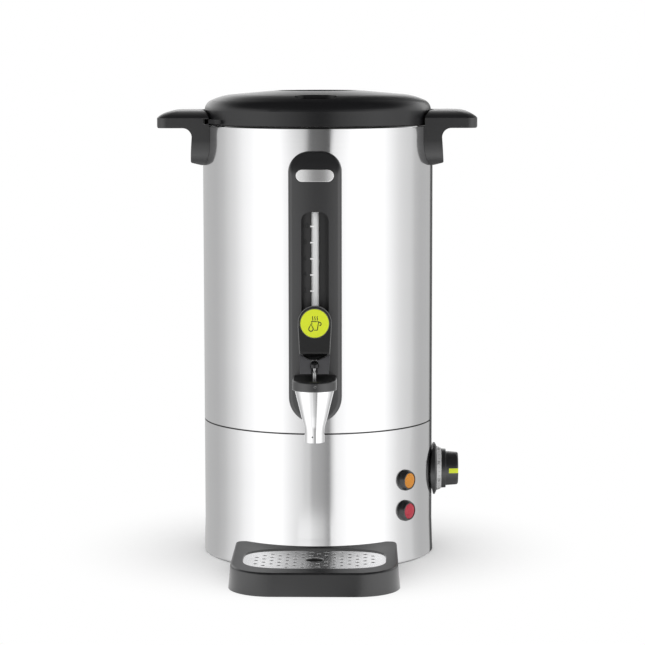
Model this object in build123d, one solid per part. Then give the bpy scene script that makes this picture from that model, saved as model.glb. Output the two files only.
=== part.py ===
from build123d import *
import math
import os

# Hot water urn. Millimetres, +Z up, origin on the tank's axis at the level of the table,
# tap towards -Y, thermostat knob towards +X.

# Tank and base compartment
body_radius = 109.0
steel = 0.8
tank_top = 407.7
tank_floor = 120.0
tank_corner = 6.0
rim_bend = 1.7
rim_radius = 104.0
rim_hem = 3.0
seam_height = 127.0
seam_groove = 1.2
spigot_gap = 0.2
skirt_bottom = 0.9
skirt_flare = 1.0
flare_height = 30.0
seat_gap = 0.1

# Base moulding, foot ring and tie rods
moulding_bottom = 1.2
moulding_gap = 0.2
moulding_top = 10.4
moulding_floor = 2.4
perimeter_width = 11.6
foot_radius = 100.5
foot_width = 5.0
foot_depth = 2.0
vent_slot_count = 12
vent_slot_length = 22.0
vent_slot_width = 3.0
vent_slot_radius = 60.0
rod_radius = 2.5
rod_circle = 84.0
rod_count = 3
rod_nut_across = 8.0
rod_nut_height = 4.0
rod_clearance = 0.3
hole_clearance = 0.2

# Heating below the tank floor
spreader_radius = 72.0
spreader_height = 4.0
element_ring_radius = 56.0
element_tube_radius = 4.0
element_arc = 318.0
element_leg = 26.0
cutout_radius = 9.0
cutout_height = 8.0
blade_thickness = 0.8
blade_width = 6.3
blade_length = 8.0
bulb_radius = 3.0
bulb_length = 44.0
bulb_offset = 26.0
capillary_radius = 1.0
capillary_bend = 12.0

# Thermostat and its knob, on the side towards +X
knob_height = 77.3
thermostat_width = 34.0
thermostat_depth = 26.0
thermostat_front = 102.0
bushing_radius = 5.0
bushing_end = 111.4
spindle_radius = 3.0
spindle_start = 88.0
spindle_flat = 0.8
running_gap = 0.05
bezel_radius = 25.0
bezel_neck_radius = 21.3
bezel_seat_radius = 20.0
bezel_front = 113.5
bezel_shadow_gap = 1.5
bezel_rear = 104.0
bezel_floor = 111.6
dial_front = 117.9
dial_front_radius = 19.4
dial_wall = 1.2
knob_gap = 0.3
knob_base_radius = 18.9
knob_base_front = 122.3
grip_radius = 16.5
grip_front = 134.2
knob_edge = 2.0
knob_hub_radius = 6.0
pointer_width = 4.5
pointer_start = 125.2
pointer_depth = 1.0
pointer_reach = 11.0
thermostat_screw_offset = 13.0
thermostat_screw_head = 3.6
thermostat_screw_head_height = 1.6
thermostat_screw_length = 15.0

# Indicator lamps
lamp_angle = 49.3
amber_height = 78.3
red_height = 49.5
lamp_bezel_radius = 9.8
lamp_proud = 5.6
lamp_rim_proud = 2.0
lens_radius = 7.25
lens_proud = 6.6
lens_seat = 2.4
lamp_barrel_radius = 5.8
lamp_barrel_depth = 14.0
lamp_nut_radius = 8.6
lamp_nut_height = 3.0

# Cord gland at the rear, without a cord
gland_height = 46.0
gland_bore_radius = 4.2
gland_flange_radius = 11.0
gland_flange = 2.6
gland_proud = 9.0
gland_barrel_radius = 7.8
gland_barrel_depth = 11.0
gland_nut_across = 10.5
gland_nut_height = 4.0
terminal_length = 34.0
terminal_width = 16.0
terminal_height = 17.0
terminal_offset = 62.0

# Tap panel
panel_width = 48.3
panel_bottom = 139.4
panel_top = 386.0
panel_corner = 18.0
panel_front = 123.5
panel_slope_start = 372.0
panel_slope_depth = 7.0
panel_wall = 2.0
panel_edge = 3.6
window_width = 24.8
window_top = 332.0
window_bottom = 237.0
window_corner = 8.0
window_floor = 111.9
badge_width = 34.4
badge_height = 11.4
badge_thickness = 1.4
badge_inset = 0.7
badge_middle = 365.0
panel_screw_height = 355.0
panel_screw_offset = 11.0
panel_boss_radius = 4.0
panel_screw_head_height = 2.0
panel_screw_length = 9.0
panel_screw_seat = 1.2

# Sight tube and its seals
tube_radius = 3.45
tube_wall = 1.0
tube_depth = 115.6
tube_bottom = 216.0
tube_top = 342.0
seal_radius = 4.6
seal_height = 6.0

# Tap body: riser behind the panel, nose through it, and the round collar over the spout
outlet_rise = 16.6
outlet_height = panel_bottom + outlet_rise
riser_width = 18.0
riser_rear = 110.4
riser_front = 121.2
riser_bottom = 145.0
riser_top = 224.0
water_way_radius = 3.0
spout_reach = 28.5
spout_depth = panel_front + spout_reach
collar_radius = 19.85
collar_bottom = 174.9
collar_top = 183.9
collar_edge = 1.8
nose_width = 26.0
nose_gap = 0.4
chamber_radius = 15.6
chamber_top = 182.3
inlet_radius = 2.7
inlet_height = 179.3

# Outlet through the tank wall
nipple_radius = 6.2
nipple_bore = 4.4
nipple_start = 101.5
nipple_end = 117.0
outlet_nut_across = 11.0
outlet_nut_height = 4.5
outlet_nut_gap = 0.9
outlet_seal_radius = 10.5

# Spout, valve seat, valve
spout_top_radius = 17.9
spout_waist_radius = 12.1
spout_waist_drop = 23.2
spout_waist_height = collar_bottom - spout_waist_drop
spout_tip_radius = 8.85
spout_tip_height = 140.0
spout_tip_bend = 20.0
spout_bottom = 127.5
spout_wall = 0.9
neck_top = 181.0
neck_wall = 1.0
seat_height = 2.0
seat_bottom = 170.6
seat_hole_radius = 5.5
seat_lip = 0.5
washer_radius = 8.0
washer_height = 1.6
stem_radius = 1.5
stem_flange_radius = 6.0
stem_flange_height = 1.0
stem_top = 194.6
stem_head_radius = 3.3
stem_head_top = 198.6
stem_head_bottom = 194.25
spring_radius = 4.4
spring_wire = 0.35
spring_turns = 3.5
pin_offset = 1.0
pin_radius = 0.8
pin_height = 179.6

# Push lever
lever_top = 248.5
lever_width = 30.3
lever_shoulder = 229.0
lever_low_width = 25.4
lever_low = 188.0
lever_wall = 2.2
lever_face_top_depth = 137.0
lever_face_bottom_depth = 144.0
lever_edge_height = 206.0
lever_shelf_depth = 139.6
lever_tip_reach = 4.2
lever_tip_height = 190.0
lever_tip_lip = 0.9
lever_arch_height = 191.6
lever_tip_depth = spout_depth + lever_tip_reach
lever_pivot_depth = 133.5
lever_pivot_height = 199.0
lever_ear_radius = 5.6
lever_pin_radius = 1.5
pivot_boss_radius = 3.6
lens_cut_width = 23.0
lens_cut_depth = 4.6
fork_slot = 5.6
fork_head_radius = 3.8
fork_head_height = 196.4
disc_radius = 12.8
disc_height = 233.0
disc_thickness = 1.6
disc_inset = 0.7

# Handles
handle_reach = 149.5
handle_half_width = 44.5
handle_root = 96.0
handle_inner_radius = 110.0
handle_tip_corner = 9.0
grip_bottom = 405.1
grip_low_edge = 2.0
crown_edge = 414.4
crown_top = 421.4
crown_run = 19.0
crown_start = 25.0
crown_steps = 5
leg_radius = 116.0
leg_low_radius = 118.3
leg_bottom = 370.0
leg_bottom_rise = 2.6
leg_corner = 24.0
leg_fillet = 8.5
lug_slot_bottom = 408.8
lug_slot_top = 413.6
lug_slot_radius = 114.8
handle_screw_height = 388.0
handle_screw_angle = 12.7
handle_screw_radius = 2.0
handle_screw_length = 6.5
handle_screw_head = 4.2
handle_screw_head_height = 2.4
handle_seal_height = 1.0

# Lid
lid_radius = 107.3
lid_bottom = 408.0
lid_wall = 2.6
shoulder_rise = 19.8
shoulder_height = lid_bottom + shoulder_rise
shoulder_round = 10.0
dome_radius = 91.0
dome_rise = 27.0
dome_height = lid_bottom + dome_rise
dome_round = 60.0
lid_rise = 31.6
lid_top = lid_bottom + lid_rise
recess_radius = 38.5
recess_depth = 15.0
recess_floor = lid_top - recess_depth
recess_edge = 1.2
bar_width = 17.0
bar_drop = 2.2
bar_top = lid_top - bar_drop
bar_edge = 4.0
scoop_width = 38.5
scoop_depth = 20.0
scoop_middle = 85.0
scoop_sink = 10.8
scoop_floor = lid_top - scoop_sink
vent_hole_radius = 1.6
vent_hole_count = 5
vent_hole_pitch = 5.6
rib_inner_radius = 100.5
rib_outer_radius = 102.5
rib_bottom = 409.2
boss_radius = 4.5
boss_circle = 62.0
liner_screw_radius = 1.45
liner_screw_head = 3.2
liner_screw_head_height = 2.0
liner_screw_length = 10.0
liner_vent_radius = 5.0
liner_radius = 98.2
liner_bottom = 409.0
liner_thickness = 1.0
liner_rim = 4.0
gasket_gap = 0.3
gasket_bottom = 405.2
gasket_inner_leg = 1.7
gasket_top = 412.0
lug_radius = 113.3
lug_bottom = 409.4
lug_top = 413.2
lug_angle = 31.0
lug_width_angle = 7.0
lock_angle = 16.0

# Drip tray and grid
tray_bottom = 0.4
tray_gap = 0.5
tray_front = 217.0
tray_front_half_width = 77.0
tray_rear_half_width = 76.4
tray_rear = 88.0
tray_front_corner = 40.0
tray_rear_corner = 8.0
tray_front_height = 21.0
tray_rear_height = 24.3
tray_draft = 5.0
tray_edge = 2.0
tray_wall = 3.0
grid_half_width = 64.5
grid_rear = 121.0
grid_front = 198.0
grid_square = 3.4
grid_gap = 0.4
grid_bottom = 20.0
grid_thickness = 1.2
grid_ledge = 4.0
grid_hole_radius = 2.0
grid_column_pitch = 7.0
grid_row_pitch = 13.7
grid_margin = 4.6
grid_drain_radius = 8.5
grid_drain_depth = 159.0

inner_radius = body_radius - steel
far = 400.0


def corner_arc(before, corner, after, radius):
    """Start, middle and end of the arc that rounds a corner."""
    back = (before - corner).normalized()
    ahead = (after - corner).normalized()
    half = math.radians(back.get_angle(ahead)) / 2
    reach = radius / math.tan(half)
    middle = corner + (back + ahead).normalized() * (radius / math.sin(half) - radius)
    return corner + back * reach, middle, corner + ahead * reach


def outline(corners):
    """Closed face. A corner is (x, y), or (x, y, radius) where it is rounded."""
    points = [Vector(c[0], c[1]) for c in corners]
    stretches = []
    for i, corner in enumerate(corners):
        if len(corner) == 3:
            after = points[(i + 1) % len(points)]
            stretches.append(corner_arc(points[i - 1], points[i], after, corner[2]))
        else:
            stretches.append((points[i], None, points[i]))
    edges = []
    for i, (start, middle, end) in enumerate(stretches):
        if middle is not None:
            edges.append(Edge.make_three_point_arc(start, middle, end))
        following = stretches[(i + 1) % len(stretches)][0]
        if (following - end).length > 1e-6:
            edges.append(Edge.make_line(end, following))
    return Face(Wire(edges))


def turned(corners, angle=360.0, start=0.0):
    """Body of revolution about Z from (radius, height) corners."""
    body = revolve(Plane.XZ * outline(corners), Axis.Z, angle)
    return Rot(0, 0, start) * body


def ring(inner, outer, low, high, angle=360.0, start=0.0):
    return turned([(inner, low), (outer, low), (outer, high), (inner, high)], angle, start)


def disc(radius, low, high):
    return Pos(0, 0, (low + high) / 2) * Cylinder(radius, high - low)


def outward(angle, height, distance=0.0):
    """Plane facing away from the tank's axis, at an angle from the front towards +X."""
    turn = math.radians(angle)
    away = Vector(math.sin(turn), -math.cos(turn), 0)
    return Plane(away * distance + Vector(0, 0, height), (math.cos(turn), math.sin(turn), 0), away)


def front_prism(face, near, far_side):
    """Face drawn in X and Z, between two distances in front of the axis."""
    return extrude(Plane.XZ.offset(near) * face, far_side - near)


def side_prism(face, half_width):
    """Face drawn in Y and Z, on both sides of the middle plane."""
    return extrude(Plane.YZ * face, half_width, both=True)


def hexagon(across_half, height, bore):
    return extrude(RegularPolygon(across_half, 6, major_radius=False), height) - Cylinder(bore, height * 3)


def pan_screw(head_radius, head_height, shank_radius, length):
    """Screw with its head above Z = 0 and its shank below."""
    head = turned([(0, 0), (head_radius, 0), (head_radius, head_height, head_height * 0.6), (0, head_height)])
    slot = Pos(0, 0, head_height) * Box(head_radius * 1.4, 0.8, head_height * 0.8)
    return head - slot + disc(shank_radius, -length, 0)


# Tank, skirt and base


def make_tank():
    spigot = inner_radius - spigot_gap
    step = seam_height + seam_groove
    wall = turned([
        (0, tank_floor),
        (spigot, tank_floor, tank_corner),
        (spigot, step),
        (body_radius, step),
        (body_radius, tank_top, rim_bend),
        (rim_radius, tank_top),
        (rim_radius, tank_top - rim_hem),
        (rim_radius + steel, tank_top - rim_hem),
        (rim_radius + steel, tank_top - steel),
        (inner_radius, tank_top - steel, rim_bend - steel),
        (inner_radius, step + steel),
        (spigot - steel, step + steel),
        (spigot - steel, tank_floor + steel, tank_corner - steel),
        (0, tank_floor + steel),
    ])
    wall -= outward(0, outlet_height, inner_radius) * Cylinder(nipple_radius + rod_clearance, 12)
    for angle in handle_screw_angles():
        wall -= outward(angle, handle_screw_height, inner_radius) * Cylinder(
            handle_screw_radius + hole_clearance, 12)
    for side in (-1, 1):
        wall -= panel_screw_place(side) * Cylinder(handle_screw_radius + hole_clearance, 12)
    return wall


def make_base_skirt():
    low = body_radius + skirt_flare
    bend = skirt_bottom + flare_height
    skirt = turned([
        (low, skirt_bottom),
        (body_radius, bend, 60),
        (body_radius, seam_height),
        (inner_radius, seam_height),
        (inner_radius, bend, 60),
        (low - steel, skirt_bottom),
    ])
    skirt -= outward(90, knob_height, body_radius) * Cylinder(bushing_radius + hole_clearance, 12)
    for side in (-1, 1):
        skirt -= thermostat_screw_place(side) * Cylinder(handle_screw_radius + hole_clearance, 12)
    for height in (amber_height, red_height):
        skirt -= outward(lamp_angle, height, body_radius) * Cylinder(lamp_barrel_radius + hole_clearance, 12)
    skirt -= outward(180, gland_height, body_radius) * Cylinder(gland_barrel_radius + hole_clearance, 12)
    return skirt


def rod_places():
    for i in range(rod_count):
        yield Rot(0, 0, 90 + i * 360 / rod_count) * Pos(rod_circle, 0, 0)


def make_base_moulding():
    inside = inner_radius - moulding_gap
    perimeter = inside - perimeter_width
    underside = moulding_top - moulding_floor
    flare_at_top = skirt_flare * (1 - (moulding_top - skirt_bottom) / flare_height)
    body = turned([
        (0, underside),
        (perimeter, underside),
        (perimeter, moulding_bottom),
        (inside + skirt_flare, moulding_bottom, 0.5),
        (inside + flare_at_top, moulding_top, 1),
        (0, moulding_top),
    ])
    body -= ring(foot_radius - foot_width / 2, foot_radius + foot_width / 2,
                 moulding_bottom - 1, moulding_bottom + foot_depth)
    for i in range(vent_slot_count):
        slot = SlotOverall(vent_slot_length, vent_slot_width)
        cut = extrude(Pos(vent_slot_radius, 0, underside - 1) * slot, moulding_floor + 2)
        body -= Rot(0, 0, (i + 0.5) * 360 / vent_slot_count) * cut
    for place in rod_places():
        body -= place * Cylinder(rod_radius + rod_clearance, far)
    return body


def make_foot_ring():
    return ring(foot_radius - foot_width / 2, foot_radius + foot_width / 2, 0, moulding_bottom + foot_depth)


def make_tie_rods():
    low = moulding_top - moulding_floor - rod_nut_height - 1
    return [place * disc(rod_radius, low, tank_floor) for place in rod_places()]


def make_tie_nuts():
    low = moulding_top - moulding_floor - rod_nut_height
    nut = Pos(0, 0, low) * hexagon(rod_nut_across / 2, rod_nut_height, rod_radius + running_gap)
    return [place * nut for place in rod_places()]


# Heating


def spreader_bottom():
    return tank_floor - spreader_height


def make_heat_spreader():
    plate = disc(spreader_radius, spreader_bottom(), tank_floor)
    return chamfer(plate.edges().group_by(Axis.Z)[0], 1)


def make_heating_element():
    middle = spreader_bottom() - element_tube_radius - seat_gap
    circle = Plane.XZ * Pos(element_ring_radius, middle) * Circle(element_tube_radius)
    tube = revolve(circle, Axis.Z, element_arc)
    blade = Box(blade_thickness, blade_width, blade_length)
    for angle in (0, element_arc):
        place = Rot(0, 0, angle) * Pos(element_ring_radius, 0, middle)
        tube += place * disc(element_tube_radius, -element_leg, element_tube_radius)
        tube += place * Pos(0, 0, -element_leg - blade_length / 2) * blade
    return Rot(0, 0, 180 + (360 - element_arc) / 2 - 90) * tube


def make_boil_dry_cutout():
    top = spreader_bottom()
    puck = disc(cutout_radius, top - cutout_height, top)
    blade = Box(blade_thickness, blade_width, blade_length)
    for side in (-1, 1):
        puck += Pos(side * (cutout_radius - 3), 0, top - cutout_height - blade_length / 2) * blade
    return puck


def make_capillary_bulb():
    height = spreader_bottom() - bulb_radius - seat_gap
    start = Vector(bulb_offset, bulb_length / 2, height)
    bulb = Pos(bulb_offset, 0, height) * Rot(90, 0, 0) * Cylinder(bulb_radius, bulb_length)
    rear = thermostat_front - thermostat_depth
    path = FilletPolyline(
        start,
        start + Vector(0, 22, 0),
        Vector(bulb_offset + 30, bulb_length / 2 + 22, knob_height),
        Vector(rear - 16, 0, knob_height),
        Vector(rear, 0, knob_height),
        radius=capillary_bend,
    )
    tube = sweep(Plane(start, z_dir=(0, 1, 0)) * Circle(capillary_radius), path=path)
    return bulb + tube


# Thermostat and knob


def thermostat_screw_place(side):
    """Screw axis beside the spindle, looking outwards."""
    return Pos(0, side * thermostat_screw_offset, 0) * outward(90, knob_height, bezel_floor).location


def make_thermostat_body():
    middle = thermostat_front - thermostat_depth / 2
    case = Pos(middle, 0, knob_height) * Box(thermostat_depth, thermostat_width, thermostat_width)
    case = fillet(case.edges().filter_by(Axis.X), 2)
    bushing = outward(90, knob_height).location * disc(bushing_radius, thermostat_front, bushing_end)
    bore = outward(90, knob_height).location * disc(spindle_radius + running_gap, spindle_start - 0.5, far)
    body = case + bushing - bore
    for side in (-1, 1):
        body -= thermostat_screw_place(side) * disc(
            handle_screw_radius + running_gap, -thermostat_screw_length - 1, 0)
    return body


def make_thermostat_screws():
    screw = pan_screw(thermostat_screw_head, thermostat_screw_head_height, handle_screw_radius,
                      thermostat_screw_length)
    return [thermostat_screw_place(side) * screw for side in (-1, 1)]


def spindle_section(clearance):
    """Round section with one flat, drawn about the spindle's axis."""
    radius = spindle_radius + clearance
    keep = Pos(-spindle_flat, 0) * Rectangle(2 * radius, 2 * radius)
    return Circle(radius) & keep


def make_spindle():
    front = grip_front - knob_edge - 3
    round_part = disc(spindle_radius, spindle_start, bushing_end + 1)
    flat_part = extrude(Pos(0, 0, bushing_end + 1) * spindle_section(0), front - bushing_end - 1)
    return knob_place() * (round_part + flat_part)


def make_knob_bezel():
    inner = dial_front_radius - dial_wall
    body = turned([
        (bushing_radius + hole_clearance, bezel_rear),
        (bezel_radius, bezel_rear),
        (bezel_radius, bezel_front - 1.6, 0.6),
        (bezel_neck_radius, bezel_front),
        (inner, bezel_front),
        (inner, bezel_floor),
        (bushing_radius + hole_clearance, bezel_floor),
    ])
    body = outward(90, knob_height).location * body
    seat = outward(90, knob_height).location * disc(bezel_seat_radius, 0, far)
    shadow = Cylinder(body_radius + bezel_shadow_gap, far) - seat
    body = body - Cylinder(body_radius + seat_gap, far) - shadow
    for side in (-1, 1):
        body -= thermostat_screw_place(side) * Cylinder(handle_screw_radius + hole_clearance, 20)
    return body


def make_dial_ring():
    inner = dial_front_radius - dial_wall
    profile = [
        (inner, bezel_front),
        (bezel_neck_radius, bezel_front),
        (dial_front_radius, dial_front, 0.4),
        (inner, dial_front),
    ]
    return outward(90, knob_height).location * turned(profile)


def pointer_block(clearance):
    """Strip along the grip's side towards the tap, and over its end."""
    low = pointer_start - clearance
    width = pointer_width + 2 * clearance
    floor = pointer_depth + clearance
    side = Pos(0, -grip_radius + floor / 2, (low + grip_front) / 2)
    along = side * Box(width, floor + 2, grip_front - low)
    reach = pointer_reach + clearance
    over = Pos(0, -grip_radius + reach / 2, grip_front - floor / 2) * Box(width, reach, floor)
    return along + over


def knob_place():
    """Drawing frame of the knob: Z along the spindle, -Y towards the tap."""
    return Location(Plane((0, 0, knob_height), (0, 0, -1), (1, 0, 0)))


def grip_solid():
    return turned([
        (0, knob_base_front - 0.5),
        (grip_radius, knob_base_front - 0.5),
        (grip_radius - 1.0, grip_front, knob_edge),
        (0, grip_front),
    ])


def make_knob():
    low = dial_front + knob_gap
    base = turned([
        (0, low),
        (knob_base_radius, low),
        (knob_base_radius - 0.3, knob_base_front, 0.5),
        (grip_radius, knob_base_front),
        (0, knob_base_front),
    ])
    hub = disc(knob_hub_radius, bushing_end + knob_gap + 1.2, low)
    knob = base + grip_solid() + hub
    bore_end = grip_front - knob_edge - 3 + knob_gap
    bore = extrude(Pos(0, 0, bushing_end) * spindle_section(running_gap), bore_end - bushing_end)
    knob = knob - bore - pointer_block(running_gap)
    return knob_place() * knob


def make_knob_pointer():
    return knob_place() * (pointer_block(0) & grip_solid())


# Lamps


def make_lamp(height):
    """Bezel, lens and nut of one indicator lamp."""
    place = outward(lamp_angle, height).location
    rim = body_radius + lamp_rim_proud
    front = body_radius + lamp_proud
    bezel = turned([
        (0, body_radius - lamp_barrel_depth),
        (lamp_barrel_radius, body_radius - lamp_barrel_depth),
        (lamp_barrel_radius, body_radius - 3),
        (lamp_bezel_radius, body_radius - 3),
        (lamp_bezel_radius, rim, 0.8),
        (lens_radius + 1.0, front, 0.8),
        (lens_radius, front),
        (lens_radius, body_radius + lens_seat),
        (0, body_radius + lens_seat),
    ])
    barrel = disc(lamp_barrel_radius, 0, far)
    bezel = place * bezel - (Cylinder(body_radius + seat_gap, far) - place * barrel)
    edge = lens_radius - running_gap
    lens = turned([
        (0, body_radius + lens_seat),
        (edge, body_radius + lens_seat),
        (edge, front - 0.4, 0.5),
        (edge * 0.55, body_radius + lens_proud, 6),
        (0, body_radius + lens_proud),
    ])
    nut = ring(lamp_barrel_radius + running_gap, lamp_nut_radius, inner_radius - lamp_nut_height - 1.0,
               inner_radius - 0.6)
    nut = place * nut & Cylinder(inner_radius - seat_gap, far)
    return bezel, place * lens, nut


# Gland and terminal block


def make_cord_gland():
    flange = body_radius + gland_flange
    body = turned([
        (gland_bore_radius, body_radius - gland_barrel_depth),
        (gland_barrel_radius, body_radius - gland_barrel_depth),
        (gland_barrel_radius, body_radius - 2),
        (gland_flange_radius, body_radius - 2),
        (gland_flange_radius, flange, 0.8),
        (gland_barrel_radius + 0.8, flange),
        (gland_barrel_radius - 0.8, body_radius + gland_proud, 1.5),
        (gland_bore_radius, body_radius + gland_proud),
    ])
    place = outward(180, gland_height).location
    through = place * disc(gland_barrel_radius, 0, far)
    return place * body - (Cylinder(body_radius + seat_gap, far) - through)


def make_gland_nut():
    nut = hexagon(gland_nut_across, gland_nut_height, gland_barrel_radius + running_gap)
    return outward(180, gland_height, inner_radius - gland_nut_height - 0.8).location * nut


def make_terminal_block():
    low = moulding_top
    block = Pos(0, terminal_offset, low + terminal_height / 2)
    body = block * Box(terminal_length, terminal_width, terminal_height)
    for i in (-1, 0, 1):
        way = Pos(i * terminal_length / 3.4, terminal_offset, low + terminal_height)
        body -= way * Cylinder(2.2, 10)
        body -= Pos(i * terminal_length / 3.4, terminal_offset, low + terminal_height / 2) * Box(4, 40, 4)
    return body


# Tap panel


def panel_outline(inset):
    """Front view of the panel: square shoulders rounded at the top, a round bottom."""
    half = panel_width / 2 - inset
    low = panel_bottom + inset
    return outline([
        (-half, low, half - 0.01),
        (half, low, half - 0.01),
        (half, panel_top - inset, panel_corner - inset),
        (-half, panel_top - inset, panel_corner - inset),
    ])


def panel_side(front):
    """Side view of the panel, with its top sloping back towards the tank."""
    return outline([
        (-90, panel_bottom - 5),
        (-front, panel_bottom - 5),
        (-front, panel_slope_start, 30),
        (-front + panel_slope_depth, panel_top),
        (-front + panel_slope_depth * 1.3, panel_top + 4),
        (-90, panel_top + 4),
    ])


def window_outline(inset):
    half = window_width / 2 + inset
    return outline([
        (-half, window_bottom - inset, 2),
        (half, window_bottom - inset, 2),
        (half, window_top + inset, window_corner),
        (-half, window_top + inset, window_corner),
    ])


def badge_outline(clearance):
    return SlotOverall(badge_width + 2 * clearance, badge_height + 2 * clearance)


def panel_screw_place(side):
    """Frame of a panel screw, looking outwards from the tank's inside."""
    return Pos(side * panel_screw_offset, 0, 0) * outward(
        0, panel_screw_height, inner_radius - panel_screw_seat).location


def make_tap_panel():
    shell = front_prism(panel_outline(0), 90, panel_front + 5) & side_prism(panel_side(panel_front), 60)
    front_loop = [e for e in shell.edges() if e.center().Y < -panel_front + panel_slope_depth + 2]
    shell = fillet(front_loop, panel_edge)
    inside = front_prism(panel_outline(panel_wall), 80, panel_front + 5)
    inside &= side_prism(panel_side(panel_front - panel_wall), 60)
    shell -= inside
    well = front_prism(window_outline(panel_wall), window_floor - panel_wall, panel_front - 1)
    shell += well
    shell -= front_prism(window_outline(0), window_floor, panel_front + 5)
    for side in (-1, 1):
        place = Pos(side * panel_screw_offset, 0, 0) * outward(0, panel_screw_height).location
        shell += place * disc(panel_boss_radius, 90, panel_front - panel_wall + 0.5)
        shell -= place * disc(handle_screw_radius + running_gap, 90, panel_front - panel_wall)
    boss = Circle(pivot_boss_radius)
    web = Pos(lever_pivot_depth / 2 - panel_front / 2, 0)
    web = web * Rectangle(lever_pivot_depth - panel_front + 1, 2 * pivot_boss_radius)
    section = Pos(-lever_pivot_depth, lever_pivot_height) * (boss + web)
    bore = Pos(-lever_pivot_depth, lever_pivot_height) * Circle(lever_pin_radius + running_gap / 2)
    shell += side_prism(section, pivot_boss_half_width())
    shell -= side_prism(bore, 40)
    nose = Pos(0, (collar_top + collar_bottom) / 2)
    nose = nose * Rectangle(nose_width + 2 * nose_gap, collar_top - collar_bottom + 2 * nose_gap - 2)
    shell -= front_prism(nose, panel_front - panel_wall - 1, panel_front + 5)
    for low in (window_bottom - panel_wall - 1, window_top - 1):
        shell -= Pos(0, -tube_depth, low) * disc(tube_radius + running_gap * 3, 0, panel_wall + 2)
    shell -= badge_place() * extrude(badge_outline(running_gap), far)
    shell -= Cylinder(body_radius + seat_gap, 2 * far)
    return shell


def badge_place():
    """On the panel's face, at the bottom of the badge's seat."""
    return outward(0, badge_middle, panel_front - badge_inset).location


def make_badge_plate():
    plate = extrude(badge_outline(0), badge_thickness)
    return badge_place() * fillet(plate.edges().group_by(Axis.Z)[-1], 0.5)


def make_panel_screws():
    screw = Rot(180, 0, 0) * pan_screw(
        handle_screw_head, panel_screw_head_height, handle_screw_radius, panel_screw_length)
    return [panel_screw_place(side) * screw for side in (-1, 1)]


# Sight tube


def make_sight_tube():
    tube = ring(tube_radius - tube_wall, tube_radius, tube_bottom, tube_top)
    return Pos(0, -tube_depth, 0) * tube


def tube_seal(low, high):
    return Pos(0, -tube_depth, 0) * ring(tube_radius + running_gap, seal_radius - running_gap, low, high)


# Tap body, outlet and spout


def tube_socket_bottom():
    return riser_top - seal_height - 2


def make_tap_body():
    middle = (riser_rear + riser_front) / 2
    riser_high = riser_top - riser_bottom
    riser = Pos(0, -middle, (riser_top + riser_bottom) / 2)
    riser = riser * Box(riser_width, riser_front - riser_rear, riser_high)
    socket_wall = Pos(0, -tube_depth, 0) * disc(seal_radius + 1.6, tube_socket_bottom() - 2, riser_top)
    room = front_prism(Pos(0, riser_top) * Rectangle(riser_width * 3, riser_high * 2), riser_front, far)
    body = riser + (socket_wall - room)
    nose = Pos(0, (collar_top + collar_bottom) / 2) * Rectangle(nose_width, collar_top - collar_bottom - 2)
    body += front_prism(nose, middle, panel_front + 4)
    collar_middle = (panel_front + seat_gap + spout_depth) / 2
    collar = Circle(collar_radius) + Pos(0, spout_depth - collar_middle) * Rectangle(
        2 * collar_radius, spout_depth - panel_front - seat_gap)
    collar = extrude(Pos(0, -spout_depth, collar_bottom) * collar, collar_top - collar_bottom)
    collar = fillet(collar.edges().group_by(Axis.Z)[-1], collar_edge)
    body += collar
    body -= Pos(0, -spout_depth, 0) * disc(chamber_radius, collar_bottom - 5, chamber_top)
    body -= Pos(0, -spout_depth, 0) * disc(stem_radius + running_gap, chamber_top - 1, collar_top + 5)
    body -= Pos(0, -tube_depth, 0) * disc(seal_radius, riser_top - seal_height, riser_top + 1)
    body -= Pos(0, -tube_depth, 0) * disc(tube_radius + running_gap, tube_socket_bottom(), riser_top)
    body -= Pos(0, -middle, 0) * disc(water_way_radius, outlet_height, tube_socket_bottom() + 1)
    body -= outward(0, inlet_height).location * disc(inlet_radius, middle, spout_depth)
    body -= outward(0, outlet_height).location * disc(nipple_radius + running_gap, 0, nipple_end)
    body -= spout_pin_place() * disc(pin_radius + running_gap / 2, -5, 1)
    return body


def spout_pin_place():
    """Outer end of the pin that locks the spout in the collar."""
    reach = math.sqrt(collar_radius ** 2 - pin_offset ** 2)
    return Pos(pin_offset, 0, 0) * outward(0, pin_height, spout_depth + reach).location


def make_spout_pin():
    return spout_pin_place() * disc(pin_radius, -5, -0.2)


def make_tank_nipple():
    place = outward(0, outlet_height).location
    body = place * disc(nipple_radius, nipple_start, nipple_end - 0.2)
    return body - place * disc(nipple_bore, 0, far)


def make_outlet_nut():
    nut = hexagon(outlet_nut_across, outlet_nut_height, nipple_radius + running_gap)
    return outward(0, outlet_height, inner_radius - outlet_nut_height - outlet_nut_gap).location * nut


def make_outlet_seal():
    place = outward(0, outlet_height).location
    seal = place * disc(outlet_seal_radius, nipple_start, riser_rear - seat_gap)
    seal -= place * disc(nipple_radius + running_gap, 0, far)
    return seal - Cylinder(body_radius + seat_gap, far * 2)


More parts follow.
